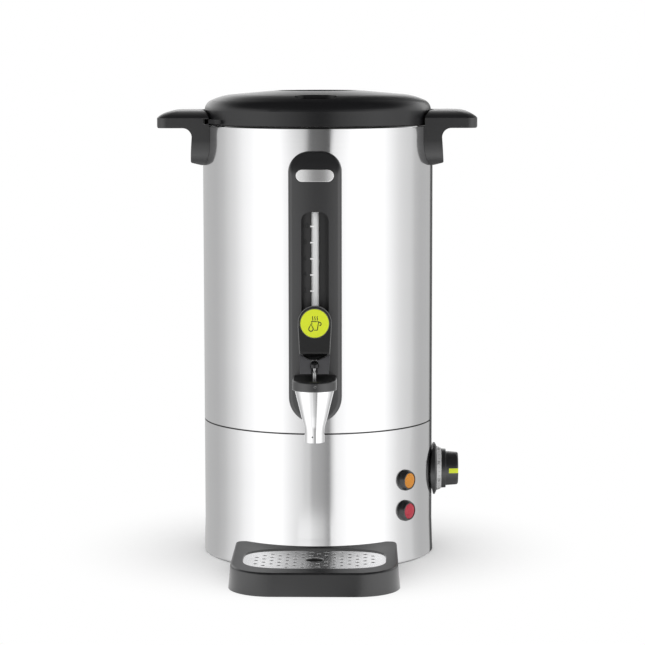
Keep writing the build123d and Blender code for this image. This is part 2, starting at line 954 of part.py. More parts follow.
def make_spout():
    """Thin cone that straightens into the outlet, with a neck that goes up into the collar."""
    outer = [
        (0, spout_bottom),
        (spout_tip_radius, spout_bottom),
        (spout_tip_radius, spout_tip_height, spout_tip_bend),
        (spout_waist_radius, spout_waist_height, 60),
        (spout_top_radius, collar_bottom - seat_gap),
        (chamber_radius - seat_gap, collar_bottom - seat_gap),
        (chamber_radius - seat_gap, neck_top),
        (0, neck_top),
    ]
    ledge = spout_top_radius - spout_wall - (spout_top_radius - spout_waist_radius) * (
        collar_bottom - seat_bottom) / (collar_bottom - spout_waist_height)
    inner = [
        (0, spout_bottom - 1),
        (spout_tip_radius - spout_wall, spout_bottom - 1),
        (spout_tip_radius - spout_wall, spout_tip_height, spout_tip_bend + spout_wall),
        (spout_waist_radius - spout_wall, spout_waist_height, 60),
        (ledge - 2.4, seat_bottom - 4),
        (ledge - 2.4, seat_bottom),
        (chamber_radius - seat_gap - neck_wall, seat_bottom),
        (chamber_radius - seat_gap - neck_wall, neck_top + 1),
        (0, neck_top + 1),
    ]
    body = Pos(0, -spout_depth, 0) * (turned(outer) - turned(inner))
    body -= outward(0, inlet_height).location * disc(inlet_radius, panel_front, spout_depth)
    body -= spout_pin_place() * disc(pin_radius + running_gap / 2, -8, 1)
    return body


def seat_lip_top():
    return seat_bottom + seat_height + seat_lip


def make_valve_seat():
    outer = chamber_radius - seat_gap - neck_wall - running_gap
    body = turned([
        (seat_hole_radius, seat_bottom),
        (outer, seat_bottom),
        (outer, seat_bottom + seat_height),
        (seat_hole_radius + 1.4, seat_bottom + seat_height),
        (seat_hole_radius + 0.9, seat_lip_top()),
        (seat_hole_radius, seat_lip_top()),
    ])
    return Pos(0, -spout_depth, 0) * body


def washer_bottom():
    return seat_lip_top() + seat_gap


def flange_bottom():
    return washer_bottom() + washer_height


def make_valve_washer():
    body = disc(washer_radius, washer_bottom(), flange_bottom())
    body -= disc(stem_radius + running_gap / 2, 0, far)
    return Pos(0, -spout_depth, 0) * body


def make_valve_stem():
    low = washer_bottom() - 1.2
    rod = disc(stem_radius, low, stem_top)
    flange = disc(stem_flange_radius, flange_bottom(), flange_bottom() + stem_flange_height)
    button = disc(stem_radius + 1.2, low, washer_bottom())
    return Pos(0, -spout_depth, 0) * (rod + flange + button)


def make_stem_head():
    body = turned([
        (0, stem_head_bottom),
        (stem_head_radius, stem_head_bottom, 0.4),
        (stem_head_radius, stem_head_top, 1.6),
        (0, stem_head_top),
    ])
    body -= disc(stem_radius + running_gap / 2, stem_head_bottom - 1, stem_top + running_gap)
    return Pos(0, -spout_depth, 0) * body


def make_stem_spring():
    low = flange_bottom() + stem_flange_height + spring_wire + seat_gap
    height = chamber_top - seat_gap - spring_wire - low
    path = Helix(height / spring_turns, height, spring_radius)
    section = Plane(path @ 0, z_dir=path % 0) * Circle(spring_wire)
    coil = sweep(section, path=path, is_frenet=True)
    return Pos(0, -spout_depth, low) * coil


# Lever


def lever_half_width(height):
    """Half the lever's width below its shoulder, where the sides run straight."""
    share = (lever_shoulder - height) / (lever_shoulder - lever_low)
    return lever_width / 2 - share * (lever_width - lever_low_width) / 2


def pivot_boss_half_width():
    return lever_half_width(lever_pivot_height) - lever_wall - 0.6


def lever_shield(inset):
    """Front view of the lever: an arch above, sides that draw in below."""
    half = lever_width / 2 - inset
    low_half = lever_half_width(lever_low - 6) - inset
    top = lever_top - inset
    return outline([
        (-low_half, lever_low - 6),
        (low_half, lever_low - 6),
        (half, lever_shoulder, 40),
        (half, top, half - 0.01),
        (-half, top, half - 0.01),
        (-half, lever_shoulder, 40),
    ])


def make_lever():
    shelf_height = lever_edge_height - 1.1
    profile = outline([
        (-lever_face_top_depth, lever_top + 1),
        (-lever_face_bottom_depth, lever_edge_height, 1.0),
        (-lever_shelf_depth, shelf_height),
        (-lever_tip_depth, lever_tip_height, 0.8),
        (-lever_tip_depth + 0.4, lever_tip_height - lever_tip_lip),
        (-spout_depth + 5, lever_arch_height, 6),
        (-lever_pivot_depth + 1, lever_pivot_height - lever_ear_radius, 5),
        (-lever_pivot_depth + lever_ear_radius + 0.4, lever_pivot_height, 5),
        (-lever_pivot_depth + 4.0, lever_pivot_height + 9, 12),
        (-lever_face_top_depth + 3.8, lever_top + 1),
    ])
    body = side_prism(profile, lever_width) & front_prism(lever_shield(0), body_radius, far)
    cavity = outline([
        (-lever_face_top_depth + 2.3, lever_top + 1),
        (-lever_face_bottom_depth + 2.6, lever_edge_height + 2.2),
        (-lever_shelf_depth + 2.6, lever_edge_height + 1.2),
        (-lever_shelf_depth + 2.6, shelf_height - 1.2),
        (-lever_tip_depth + 1.2, lever_tip_height - 3.2),
        (-lever_tip_depth + 1.2, lever_low - 20),
        (-body_radius, lever_low - 20),
        (-body_radius, lever_top + 1),
    ])
    body -= side_prism(cavity, lever_width) & front_prism(lever_shield(lever_wall), 0, far)
    lens_radius_cut = (lens_cut_width ** 2 / 4 + lens_cut_depth ** 2) / (2 * lens_cut_depth)
    lens_cut = Pos(0, shelf_height - lens_cut_depth + lens_radius_cut) * Circle(lens_radius_cut)
    lens_cut &= Pos(0, shelf_height - 10) * Rectangle(lens_cut_width, 20)
    body -= front_prism(lens_cut, body_radius, far)
    fork = Pos(0, fork_head_height) * Circle(fork_head_radius)
    fork += Pos(0, fork_head_height - 10) * Rectangle(fork_slot, 20)
    body -= front_prism(fork, spout_depth - 10, far)
    ears = Pos(-lever_pivot_depth, lever_pivot_height) * Circle(lever_pin_radius + running_gap)
    body -= side_prism(ears, lever_width)
    body -= disc_place() * extrude(Circle(disc_radius + running_gap), 10)
    return body


def disc_place():
    """Bottom of the badge disc's seat on the lever's sloping face."""
    lean = math.atan2(lever_face_bottom_depth - lever_face_top_depth, lever_top + 1 - lever_edge_height)
    share = (lever_top + 1 - disc_height) / (lever_top + 1 - lever_edge_height)
    depth = lever_face_top_depth + share * (lever_face_bottom_depth - lever_face_top_depth)
    away = Vector(0, -math.cos(lean), math.sin(lean))
    seat = Vector(0, -depth, disc_height) - away * disc_inset
    return Location(Plane(seat, (1, 0, 0), away))


def make_lever_badge():
    badge = extrude(Circle(disc_radius), disc_thickness)
    return disc_place() * fillet(badge.edges().group_by(Axis.Z)[-1], 0.7)


def make_lever_pin():
    half = lever_half_width(lever_pivot_height) - 0.2
    pin = Pos(-lever_pivot_depth, lever_pivot_height) * Circle(lever_pin_radius)
    return side_prism(pin, half)


# Handles


def handle_screw_angles():
    """Angles of the four handle screws, from the front towards +X."""
    for side in (90, 270):
        for turn in (-handle_screw_angle, handle_screw_angle):
            yield side + turn


def handle_plan(inset):
    """Top view of the grip, drawn in from its tip and its sides."""
    half = handle_half_width - inset
    tip = handle_reach - inset
    return outline([
        (handle_root, -half),
        (tip, -half, handle_tip_corner),
        (tip, half, handle_tip_corner),
        (handle_root, half),
    ])


def handle_crown():
    """Rounded top of the grip, lofted through outlines that draw in as they rise."""
    start = math.radians(crown_start)
    sections = []
    for i in range(crown_steps + 1):
        turn = start + (math.pi / 2 - start) * i / crown_steps
        run = (math.cos(start) - math.cos(turn)) / math.cos(start)
        rise = (math.sin(turn) - math.sin(start)) / (1 - math.sin(start))
        height = crown_edge + (crown_top - crown_edge) * rise
        sections.append(Pos(0, 0, height) * handle_plan(crown_run * run))
    return loft(sections)


def make_right_handle():
    inner = body_radius + seat_gap
    section = outline([
        (handle_root, leg_bottom),
        (inner, leg_bottom),
        (leg_low_radius, leg_bottom + leg_bottom_rise, 1.5),
        (leg_radius, grip_bottom, leg_fillet),
        (handle_reach, grip_bottom, grip_low_edge),
        (handle_reach, crown_edge),
        (handle_root, crown_edge),
    ])
    front = outline([
        (-handle_half_width, crown_top),
        (-handle_half_width, leg_bottom - 1, leg_corner),
        (handle_half_width, leg_bottom - 1, leg_corner),
        (handle_half_width, crown_top),
    ])
    handle = extrude(Plane.XZ * section, handle_half_width, both=True)
    handle &= extrude(Plane.YZ * front, far)
    handle &= extrude(Pos(0, 0, leg_bottom - 1) * handle_plan(0), crown_top - leg_bottom)
    handle += handle_crown()
    handle -= Cylinder(inner, 3 * far)
    handle -= disc(handle_inner_radius, lid_bottom - 1.2, lid_top)
    slot_start = lug_angle - lock_angle - lug_width_angle / 2 - 2.5
    handle -= ring(inner - 5, lug_slot_radius, lug_slot_bottom, lug_slot_top, 30, slot_start)
    for turn in (-handle_screw_angle, handle_screw_angle):
        place = outward(90 + turn, handle_screw_height, inner_radius).location
        handle -= place * disc(handle_screw_radius + running_gap, -5, handle_screw_length)
    return handle


def make_handle_screws():
    screw = Rot(180, 0, 0) * pan_screw(
        handle_screw_head, handle_screw_head_height, handle_screw_radius,
        handle_screw_length + handle_seal_height)
    seat = inner_radius - handle_seal_height - seat_gap
    return [outward(a, handle_screw_height, seat).location * screw for a in handle_screw_angles()]


def make_handle_seals():
    seal = ring(handle_screw_radius + running_gap, handle_screw_head, 0, handle_seal_height)
    seat = inner_radius - handle_seal_height - seat_gap
    return [outward(a, handle_screw_height, seat).location * seal for a in handle_screw_angles()]


# Lid


def make_lid():
    outer = turned([
        (0, lid_bottom),
        (lid_radius, lid_bottom, 0.6),
        (lid_radius - 0.3, shoulder_height, shoulder_round),
        (dome_radius, dome_height, dome_round),
        (recess_radius, lid_top, recess_edge),
        (recess_radius - 1.0, recess_floor, 3),
        (0, recess_floor),
    ])
    recess_wall = recess_radius + lid_wall
    cavity = turned([
        (0, lid_bottom - 1),
        (lid_radius - lid_wall, lid_bottom - 1),
        (lid_radius - lid_wall - 0.3, shoulder_height - 1.6, shoulder_round - lid_wall),
        (dome_radius - 0.6, dome_height - lid_wall, dome_round),
        (recess_wall, lid_top - lid_wall - 0.2),
        (recess_wall - 1.0, recess_floor - lid_wall, 2),
        (0, recess_floor - lid_wall),
    ])
    scoop = Pos(0, -scoop_middle) * SlotOverall(scoop_width, scoop_depth)
    tub = Pos(0, -scoop_middle) * SlotOverall(scoop_width + 2 * lid_wall, scoop_depth + 2 * lid_wall)
    inside = extrude(Pos(0, 0, scoop_floor - lid_wall) * tub, 40)
    inside += ring(rib_inner_radius, rib_outer_radius, rib_bottom, lid_top)
    for place in boss_places():
        inside += place * disc(boss_radius, liner_bottom + liner_thickness, lid_top)
    lid = outer - cavity + (inside & outer)
    pocket = extrude(Pos(0, 0, scoop_floor) * scoop, 40)
    lid -= fillet(pocket.edges().group_by(Axis.Z)[0], 2)
    for i in range(vent_hole_count):
        offset = (i - (vent_hole_count - 1) / 2) * vent_hole_pitch
        lid -= Pos(offset, -scoop_middle, 0) * disc(vent_hole_radius, scoop_floor - 10, scoop_floor + 1)
    for place in boss_places():
        lid -= place * disc(
            liner_screw_radius + running_gap, liner_bottom, liner_bottom + liner_screw_length + 1)
    bar = Pos(0, 0, (bar_top + recess_floor) / 2) * Box(90, bar_width, bar_top - recess_floor)
    bar = fillet(bar.edges().filter_by(Axis.X).group_by(Axis.Z)[-1], bar_edge)
    lid += bar & disc(recess_radius + 0.5, recess_floor - 1, lid_top)
    for turn in (0, 180):
        start = lug_angle + turn - lug_width_angle / 2
        lid += ring(lid_radius - 1.5, lug_radius, lug_bottom, lug_top, lug_width_angle, start)
    return lid


def boss_places():
    for i in range(3):
        yield Rot(0, 0, 90 + 120 * i) * Pos(boss_circle, 0, 0)


def make_lid_liner():
    low = liner_bottom
    high = liner_bottom + liner_thickness
    rim = liner_bottom + liner_rim
    liner = turned([
        (0, low),
        (liner_radius, low, liner_thickness * 1.5),
        (liner_radius, rim),
        (liner_radius - liner_thickness, rim),
        (liner_radius - liner_thickness, high),
        (0, high),
    ])
    liner -= Pos(0, -scoop_middle, 0) * disc(liner_vent_radius, low - 1, high + 1)
    for place in boss_places():
        liner -= place * disc(liner_screw_radius + hole_clearance, low - 1, high + 1)
    return liner


def make_liner_screws():
    screw = Pos(0, 0, liner_bottom) * Rot(180, 0, 0) * pan_screw(
        liner_screw_head, liner_screw_head_height, liner_screw_radius, liner_screw_length)
    return [place * screw for place in boss_places()]


def make_lid_gasket():
    inner = rib_inner_radius - gasket_gap
    outer = rib_outer_radius + gasket_gap
    floor = rib_bottom - gasket_gap
    return turned([
        (inner - gasket_inner_leg, gasket_bottom),
        (rim_radius - gasket_gap, gasket_bottom, 0.8),
        (rim_radius - gasket_gap, gasket_top),
        (outer, gasket_top),
        (outer, floor),
        (inner, floor),
        (inner, gasket_top),
        (inner - gasket_inner_leg, gasket_top),
    ])


# Drip tray and grid


def basin_outline(inset):
    """Squared oval, by the superellipse formula."""
    half_x = grid_half_width - inset
    half_y = (grid_front - grid_rear) / 2 - inset
    middle = -(grid_front + grid_rear) / 2
    points = []
    for i in range(32):
        turn = 2 * math.pi * i / 32
        c = math.cos(turn)
        s = math.sin(turn)
        x = half_x * math.copysign(abs(c) ** (2 / grid_square), c)
        y = half_y * math.copysign(abs(s) ** (2 / grid_square), s)
        points.append(Vector(x, y + middle))
    return Face(Wire([Edge.make_spline(points, periodic=True)]))


def make_drip_tray():
    plan = outline([
        (-tray_rear_half_width, -tray_rear, tray_rear_corner),
        (-tray_front_half_width, -tray_front, tray_front_corner),
        (tray_front_half_width, -tray_front, tray_front_corner),
        (tray_rear_half_width, -tray_rear, tray_rear_corner),
    ])
    tray = extrude(Pos(0, 0, tray_bottom) * plan, tray_rear_height + 6, taper=tray_draft)
    side = outline([
        (-tray_front - 5, tray_bottom),
        (-tray_front - 5, tray_front_height),
        (-tray_rear + 10, tray_rear_height + 0.3),
        (-tray_rear + 10, tray_bottom),
    ])
    tray &= side_prism(side, 200)
    tray -= Cylinder(body_radius + skirt_flare + tray_gap, far)
    tray = fillet(tray.faces().sort_by(Axis.Z)[-1].edges(), tray_edge)
    tray -= extrude(Pos(0, 0, grid_bottom) * basin_outline(0), 20)
    tray -= extrude(Pos(0, 0, tray_bottom + tray_wall) * basin_outline(grid_ledge), 40)
    return tray


def grid_hole_places():
    """Staggered rows of holes inside the grid's rim, clear of the drain hole."""
    middle = (grid_front + grid_rear) / 2
    half_x = grid_half_width - grid_margin - grid_hole_radius
    half_y = (grid_front - grid_rear) / 2 - grid_margin - grid_hole_radius
    columns = int(half_x / grid_column_pitch) + 1
    rows = int(2 * half_y / grid_row_pitch) + 1
    for column in range(-columns, columns + 1):
        x = (column + 0.5) * grid_column_pitch
        for row in range(-rows, rows + 1):
            y = (row + (0.25 if column % 2 else -0.25)) * grid_row_pitch
            inside = abs(x / half_x) ** grid_square + abs(y / half_y) ** grid_square < 1
            from_drain = math.hypot(x, y - middle + grid_drain_depth)
            if inside and from_drain > grid_drain_radius + 2 * grid_hole_radius:
                yield x, y - middle


def make_drip_grid():
    low = grid_bottom + seat_gap
    plate = extrude(Pos(0, 0, low) * basin_outline(grid_gap), grid_thickness)
    holes = [Pos(x, y) * Circle(grid_hole_radius) for x, y in grid_hole_places()]
    holes.append(Pos(0, -grid_drain_depth) * Circle(grid_drain_radius))
    cuts = [extrude(Pos(0, 0, low - 1) * hole, grid_thickness + 2) for hole in holes]
    return plate - cuts


# All nodes

parts = {
    "tank": make_tank(),
    "base_skirt": make_base_skirt(),
    "base_moulding": make_base_moulding(),
    "foot_ring": make_foot_ring(),
    "tie_rods": make_tie_rods(),
    "tie_nuts": make_tie_nuts(),
    "heat_spreader": make_heat_spreader(),
    "heating_element": make_heating_element(),
    "boil_dry_cutout": make_boil_dry_cutout(),
    "capillary_bulb": make_capillary_bulb(),
    "thermostat_body": make_thermostat_body(),
    "thermostat_screws": make_thermostat_screws(),
    "thermostat_spindle": make_spindle(),
    "knob_bezel": make_knob_bezel(),
    "dial_ring": make_dial_ring(),
    "knob": make_knob(),
    "knob_pointer": make_knob_pointer(),
    "cord_gland": make_cord_gland(),
    "gland_nut": make_gland_nut(),
    "terminal_block": make_terminal_block(),
    "tap_panel": make_tap_panel(),
    "badge_plate": make_badge_plate(),
    "panel_screws": make_panel_screws(),
    "sight_tube": make_sight_tube(),
    "tube_seal_lower": tube_seal(riser_top - seal_height, riser_top),
    "tube_seal_upper": tube_seal(window_top + panel_wall + seat_gap, tube_top - 1),
    "tap_body": make_tap_body(),
    "tank_nipple": make_tank_nipple(),
    "outlet_nut": make_outlet_nut(),
    "outlet_seal": make_outlet_seal(),
    "spout": make_spout(),
    "spout_pin": make_spout_pin(),
    "valve_seat": make_valve_seat(),
    "valve_washer": make_valve_washer(),
    "valve_stem": make_valve_stem(),
    "stem_head": make_stem_head(),
    "stem_spring": make_stem_spring(),
    "lever": make_lever(),
    "lever_badge": make_lever_badge(),
    "lever_pin": make_lever_pin(),
    "right_handle": make_right_handle(),
    "handle_screws": make_handle_screws(),
    "handle_seals": make_handle_seals(),
    "lid": make_lid(),
    "lid_liner": make_lid_liner(),
    "liner_screws": make_liner_screws(),
    "lid_gasket": make_lid_gasket(),
    "drip_tray": make_drip_tray(),
    "drip_grid": make_drip_grid(),
}
parts["left_handle"] = Rot(0, 0, 180) * parts["right_handle"]
for colour, height in (("amber", amber_height), ("red", red_height)):
    bezel, lens, nut = make_lamp(height)
    parts[f"{colour}_lamp_bezel"] = bezel
    parts[f"{colour}_lamp_lens"] = lens
    parts[f"{colour}_lamp_nut"] = nut

os.makedirs("parts", exist_ok=True)
for name, shape in parts.items():
    if isinstance(shape, list):
        shape = Compound(children=shape)
    export_step(shape, f"parts/{name}.step")
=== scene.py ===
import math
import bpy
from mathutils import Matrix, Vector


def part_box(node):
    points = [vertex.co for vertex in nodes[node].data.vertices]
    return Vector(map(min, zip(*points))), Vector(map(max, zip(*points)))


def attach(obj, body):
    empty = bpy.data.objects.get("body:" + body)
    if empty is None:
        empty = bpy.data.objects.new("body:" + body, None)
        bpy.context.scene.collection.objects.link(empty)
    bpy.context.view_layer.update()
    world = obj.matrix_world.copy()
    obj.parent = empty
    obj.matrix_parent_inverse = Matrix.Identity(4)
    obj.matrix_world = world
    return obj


bl_info = {
    "name": "Hot water urn",
    "version": (1, 0, 0),
    "blender": (4, 5, 0),
    "location": "View3D > Sidebar > Urn",
    "description": "Finishes, markings and studio for a hot water urn with a push-lever tap",
    "category": "Object",
}

import bmesh
import bpy
from bpy.props import FloatProperty, FloatVectorProperty, IntProperty, PointerProperty
from mathutils import Matrix, Vector

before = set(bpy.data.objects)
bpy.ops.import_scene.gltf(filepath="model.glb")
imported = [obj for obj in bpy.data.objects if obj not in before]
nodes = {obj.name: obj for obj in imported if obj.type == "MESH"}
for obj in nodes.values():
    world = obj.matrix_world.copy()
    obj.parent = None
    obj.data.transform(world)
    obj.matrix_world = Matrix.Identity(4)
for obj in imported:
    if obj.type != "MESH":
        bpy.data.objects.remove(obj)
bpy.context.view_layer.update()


# Places and sizes on the parts, in metres: the depth of rolled lines, the lever's tongue that is painted
# paler as lit from above (height of its top in the middle, rise of it to the sides, half its width), the
# head of the spout's pin, the wall of the sight tube, Y of the floor of the panel's recess, and the
# dial's rear and front radius

LINE_DEPTH = 0.00002
TONGUE_TOP = 0.1998
TONGUE_RISE = 0.0057
TONGUE_HALF = 0.0135
PIN_HEAD = (-0.0018, 0, 0.133)
PIN_HEAD_RADIUS = 0.0007
TUBE_WALL = 0.00108
RECESS_FLOOR = -0.1119
DIAL_RADII = (0.0213, 0.0194)


# Lean of the lever's face, in radians

LEVER_LEAN = math.atan2(7.0, 43.5)


# Colours of places within a piece

# Painted shade in the groove of the tank's seam and on the walls of the grid's holes
SHADE_DARK = (0.03, 0.03, 0.03)
PIN_DARK = (0.02, 0.02, 0.02)
# Painted shade in the tray's basin under the grid
BASIN_SHADE = (0.003, 0.003, 0.003)
# Grey of the painted highlight on the softened edges of plastic
EDGE_HIGHLIGHT = (0.21, 0.21, 0.21)


# Cosines of the turn at which a softened edge starts to take its painted highlight, and at which it takes
# it fully

EDGE_TURN = (0.985, 0.93)


# Scale of the lines along X, Y and Z on turned and drawn metal

EVEN_STRETCH = (500, 500, 500)


# Dial: the number of ticks, in degrees the turn of the first tick and from tick to tick, in degrees
# Celsius the first number and the rise from tick to tick, and the ticks from number to number

DIAL_TICKS = 21
DIAL_START = 150
DIAL_STEP = 12
DIAL_FIRST = 30
DIAL_PER_TICK = 4
DIAL_NUMBERED = 4


# Brightness of the light wall by direction in degrees: 0 in front of the tap, 90 on the knob's side

RAMP_STOPS = (
    (-180, 0.60), (-118, 0.60), (-105, 0.70), (-95, 0.88), (-87, 0.99), (-76, 1.25), (-66, 1.38),
    (-55, 1.58), (-36, 1.5), (-30.5, 1.34), (-22.3, 1.13), (-14.2, 0.97), (-9.5, 0.75), (-6.5, 0.22),
    (6, 0.17), (13.4, 0.10), (14.6, 0.95), (18, 1.28), (26, 1.38), (40, 1.6), (62, 1.6), (76, 1.27),
    (87, 1.02), (94, 0.93), (106, 0.84), (112, 0.68), (122, 0.60), (149, 0.58), (153, 0.08),
    (164, 0.08), (168, 0.60),
)


# Light wall in metres: its height, the heights between which it fades, and how much lower per metre of
# Y they are in front. The added band behind grows along Y, rises between the heights of its foot, and
# falls to a share between those of its top

WALL_HEIGHT = 1.8
WALL_FADE = (0.80, 1.25)
WALL_TILT = 0.26
BAND_DEPTHS = (0.3, 1.6)
BAND_FOOT = (0.45, 0.60)
BAND_TOP = (1.1, 1.79)
BAND_TOP_SHARE = 0.35


# Floor in metres: half its side, and the distances from the tank's axis between which its shadow fades
# to white. In front, inside the dark gap, steel sees it lifted: the sides of the gap as X over -Y, the
# distances between which the lift goes over, and its factor, offset and cap at the two of them

FLOOR_REACH = 6.0
SHADOW_FADE = (0.09, 0.26)
GAP_SIDES = (0.27, 0.34)
NEAR_FLOOR = (0.33, 0.42)
GAP_LIFT = ((6.7, 2.7), (-0.37, 0.0), (1.2, 0.85))


# Settings


def colour_property(name, description, default):
    return FloatVectorProperty(
        name=name, description=description, default=default, size=3, min=0, max=1, subtype="COLOR"
    )


def number_property(name, description, default, **limits):
    return FloatProperty(name=name, description=description, default=default, **limits)


def length_property(name, description, default):
    return number_property(name, description, default, min=0, unit="LENGTH")


def angle_property(name, description, degrees):
    return number_property(name, description, math.radians(degrees), subtype="ANGLE")


class UrnColours(bpy.types.PropertyGroup):
    steel: colour_property("Steel", "Tank, skirt and spout pin", (0.70, 0.70, 0.705))
    bright_steel: colour_property("Bright steel", "Spout, grid, stem and fixings", (0.82, 0.82, 0.825))
    aluminium: colour_property("Aluminium", "Dial ring and heat spreader", (0.70, 0.70, 0.70))
    badge: colour_property("Badge", "Bare plate at the top of the tap panel", (0.80, 0.80, 0.80))
    plastic: colour_property("Black plastic", "Panel, handles, knob and tray", (0.013, 0.013, 0.014))
    lid: colour_property("Lid plastic", "Lid", (0.008, 0.008, 0.009))
    emblem: colour_property("Yellow green", "Lever disc and knob pointer", (0.67, 0.76, 0.02))
    amber: colour_property("Amber", "Upper lamp", (0.80, 0.30, 0.02))
    red: colour_property("Red", "Lower lamp", (0.55, 0.03, 0.06))
    print_dark: colour_property("Dark print", "Dial numbers and the emblem's lines", (0.02, 0.02, 0.02))
    print_light: colour_property("Light print", "Marks beside the sight tube", (0.85, 0.85, 0.85))
    floor: colour_property("Floor", "Floor under the urn", (0.96, 0.96, 0.96))


class UrnMarkings(bpy.types.PropertyGroup):
    dial_text: length_property("Dial numbers", "Height of the dial's numbers", 0.0027)
    dial_tick: length_property("Dial tick", "Length of a dial tick", 0.0012)
    level_tick: length_property("Level tick", "Length of a mark beside the tube", 0.0032)
    level_text: length_property("Level numbers", "Height of the numbers beside the tube", 0.0046)
    level_first: length_property("Lowest mark", "Height of the lowest mark above the table", 0.2602)
    level_step: length_property("Mark spacing", "Distance from one mark to the next", 0.01465)
    level_count: IntProperty(name="Marks", description="Number of marks", default=5, min=1, max=12)
    emblem_line: length_property("Emblem line", "Width of the lines on the lever disc", 0.00086)


class UrnStudio(bpy.types.PropertyGroup):
    distance: length_property("Camera distance", "From the tank's axis to the camera", 2.250)
    height: length_property("Camera height", "Camera above the table", 0.4714)
    turn: angle_property("Camera side", "Angle of the camera round the urn, towards the knob", 1.30)
    aim: angle_property("Camera aim", "Turn of the view away from the tank's axis", 0.105)
    pitch: angle_property("Camera pitch", "How far the camera looks down", 6.421)
    roll: angle_property("Camera roll", "Turn of the picture", -0.097)
    lens: number_property("Lens", "Focal length in millimetres", 131.99, min=20)
    wall_radius: length_property("Light wall", "Radius of the ring of light round the table", 2.0)
    soft_light: number_property("Soft light", "Strength of the light wall", 1.0)
    back_band: number_property("Back band", "Added share of light high on the wall behind", 2.0)
    ceiling: number_property("Ceiling", "Share of the wall's light that the ceiling has", 0.02)
    sky: number_property("Sky", "Strength of the light from above", 1.0)


# Helpers for meshes


def new_piece(name, maker, material):
    """Turns a bmesh into an object of the scene."""
    mesh = bpy.data.meshes.new(name)
    maker.to_mesh(mesh)
    maker.free()
    mesh.materials.append(material)
    piece = bpy.data.objects.new(name, mesh)
    bpy.context.scene.collection.objects.link(piece)
    return piece


def finish_piece(name, maker, material, body, smooth=False):
    """Turns a bmesh into a piece that rides on a body."""
    piece = new_piece(name, maker, material)
    if smooth:
        mesh = piece.data
        mesh.polygons.foreach_set("use_smooth", [True] * len(mesh.polygons))
        mesh.set_sharp_from_angle(angle=math.radians(35))
    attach(piece, body)
    return piece


def stage_piece(name, maker, material):
    """Turns a bmesh into a part of the studio."""
    piece = new_piece(name, maker, material)
    return piece


def bar(maker, size, place):
    """A small block with softened edges."""
    made = bmesh.ops.create_cube(maker, size=1.0)
    verts = made["verts"]
    bmesh.ops.transform(maker, matrix=place @ Matrix.Diagonal((*size, 1)), verts=verts)
    edges = list({e for v in verts for e in v.link_edges})
    bmesh.ops.bevel(
        maker, geom=edges, offset=min(size) * 0.2, offset_type="OFFSET", segments=2,
        profile=0.5, affect="EDGES", material=-1,
    )


def stroke(maker, points, width, height, closed=False):
    """A raised line through (x, y) points, as a flat strip with thickness along Z."""
    rails = []
    count = len(points)
    for i in range(count):
        here = Vector(points[i])
        before = Vector(points[i - 1]) if closed or i else here
        after = Vector(points[(i + 1) % count]) if closed or i < count - 1 else here
        along = (after - before).normalized()
        side = Vector((-along.y, along.x)) * width / 2
        left = maker.verts.new((here.x + side.x, here.y + side.y, 0))
        right = maker.verts.new((here.x - side.x, here.y - side.y, 0))
        rails.append((left, right))
    faces = []
    pairs = list(zip(rails, rails[1:] + rails[:1])) if closed else list(zip(rails, rails[1:]))
    for (left, right), (next_left, next_right) in pairs:
        faces.append(maker.faces.new((left, right, next_right, next_left)))
    made = bmesh.ops.extrude_face_region(maker, geom=faces)
    top = [g for g in made["geom"] if isinstance(g, bmesh.types.BMVert)]
    bmesh.ops.translate(maker, verts=top, vec=(0, 0, height))
    bmesh.ops.recalc_face_normals(maker, faces=maker.faces)


def arc_points(centre, radius_x, radius_y, start, end, count):
    steps = [math.radians(start + (end - start) * i / (count - 1)) for i in range(count)]
    return [(centre[0] + radius_x * math.cos(a), centre[1] + radius_y * math.sin(a)) for a in steps]


def text_mesh(words, height, depth):
    """A bmesh of generic numbers, centred, raised along Z."""
    curve = bpy.data.curves.new("numbers", "FONT")
    curve.body = words
    curve.size = height / 0.7
    curve.align_x = "CENTER"
    curve.align_y = "CENTER"
    curve.extrude = depth / 2
    curve.resolution_u = 4
    holder = bpy.data.objects.new("numbers", curve)
    bpy.context.scene.collection.objects.link(holder)
    shaped = holder.evaluated_get(bpy.context.evaluated_depsgraph_get())
    mesh = bpy.data.meshes.new_from_object(shaped)
    maker = bmesh.new()
    maker.from_mesh(mesh)
    bmesh.ops.remove_doubles(maker, verts=maker.verts, dist=1e-7)
    bpy.data.objects.remove(holder)
    bpy.data.curves.remove(curve)
    bpy.data.meshes.remove(mesh)
    return maker


def merge_into(maker, other, place):
    """Adds one bmesh to another, at a place."""
    bmesh.ops.transform(other, matrix=place, verts=other.verts)
    mesh = bpy.data.meshes.new("part")
    other.to_mesh(mesh)
    other.free()
    maker.from_mesh(mesh)
    bpy.data.meshes.remove(mesh)


# Helpers for materials


def new_group(name, inputs, outputs):
    """An empty node group, with the nodes that hold its inputs and its outputs."""
    tree = bpy.data.node_groups.new(name, "ShaderNodeTree")
    for label, kind, default in inputs:
        socket = tree.interface.new_socket(name=label, in_out="INPUT", socket_type=kind)
        if default is not None:
            socket.default_value = default
    for label, kind in outputs:
        tree.interface.new_socket(name=label, in_out="OUTPUT", socket_type=kind)
    return tree, tree.nodes.new("NodeGroupInput"), tree.nodes.new("NodeGroupOutput")


def add_node(tree, kind, **values):
    node = tree.nodes.new(kind)
    for name, value in values.items():
        setattr(node, name, value)
    return node


def feed(tree, value, socket):
    """Links an output to a socket, or sets the socket to a number, a vector or a colour."""
    if isinstance(value, bpy.types.NodeSocket):
        tree.links.new(value, socket)
    else:
        socket.default_value = value


def feed_named(tree, node, settings):
    for label, value in settings.items():
        feed(tree, value, node.inputs[label])


def feed_in_order(tree, node, values):
    for value, socket in zip(values, node.inputs):
        feed(tree, value, socket)


def maths(tree, operation, *values):
    node = add_node(tree, "ShaderNodeMath", operation=operation)
    feed_in_order(tree, node, values)
    return node.outputs["Value"]


def vector_maths(tree, operation, *values):
    """The result is a vector, or a number for a length or a dot product."""
    node = add_node(tree, "ShaderNodeVectorMath", operation=operation)
    feed_in_order(tree, node, values)
    return node.outputs["Value" if operation in ("LENGTH", "DOT_PRODUCT") else "Vector"]


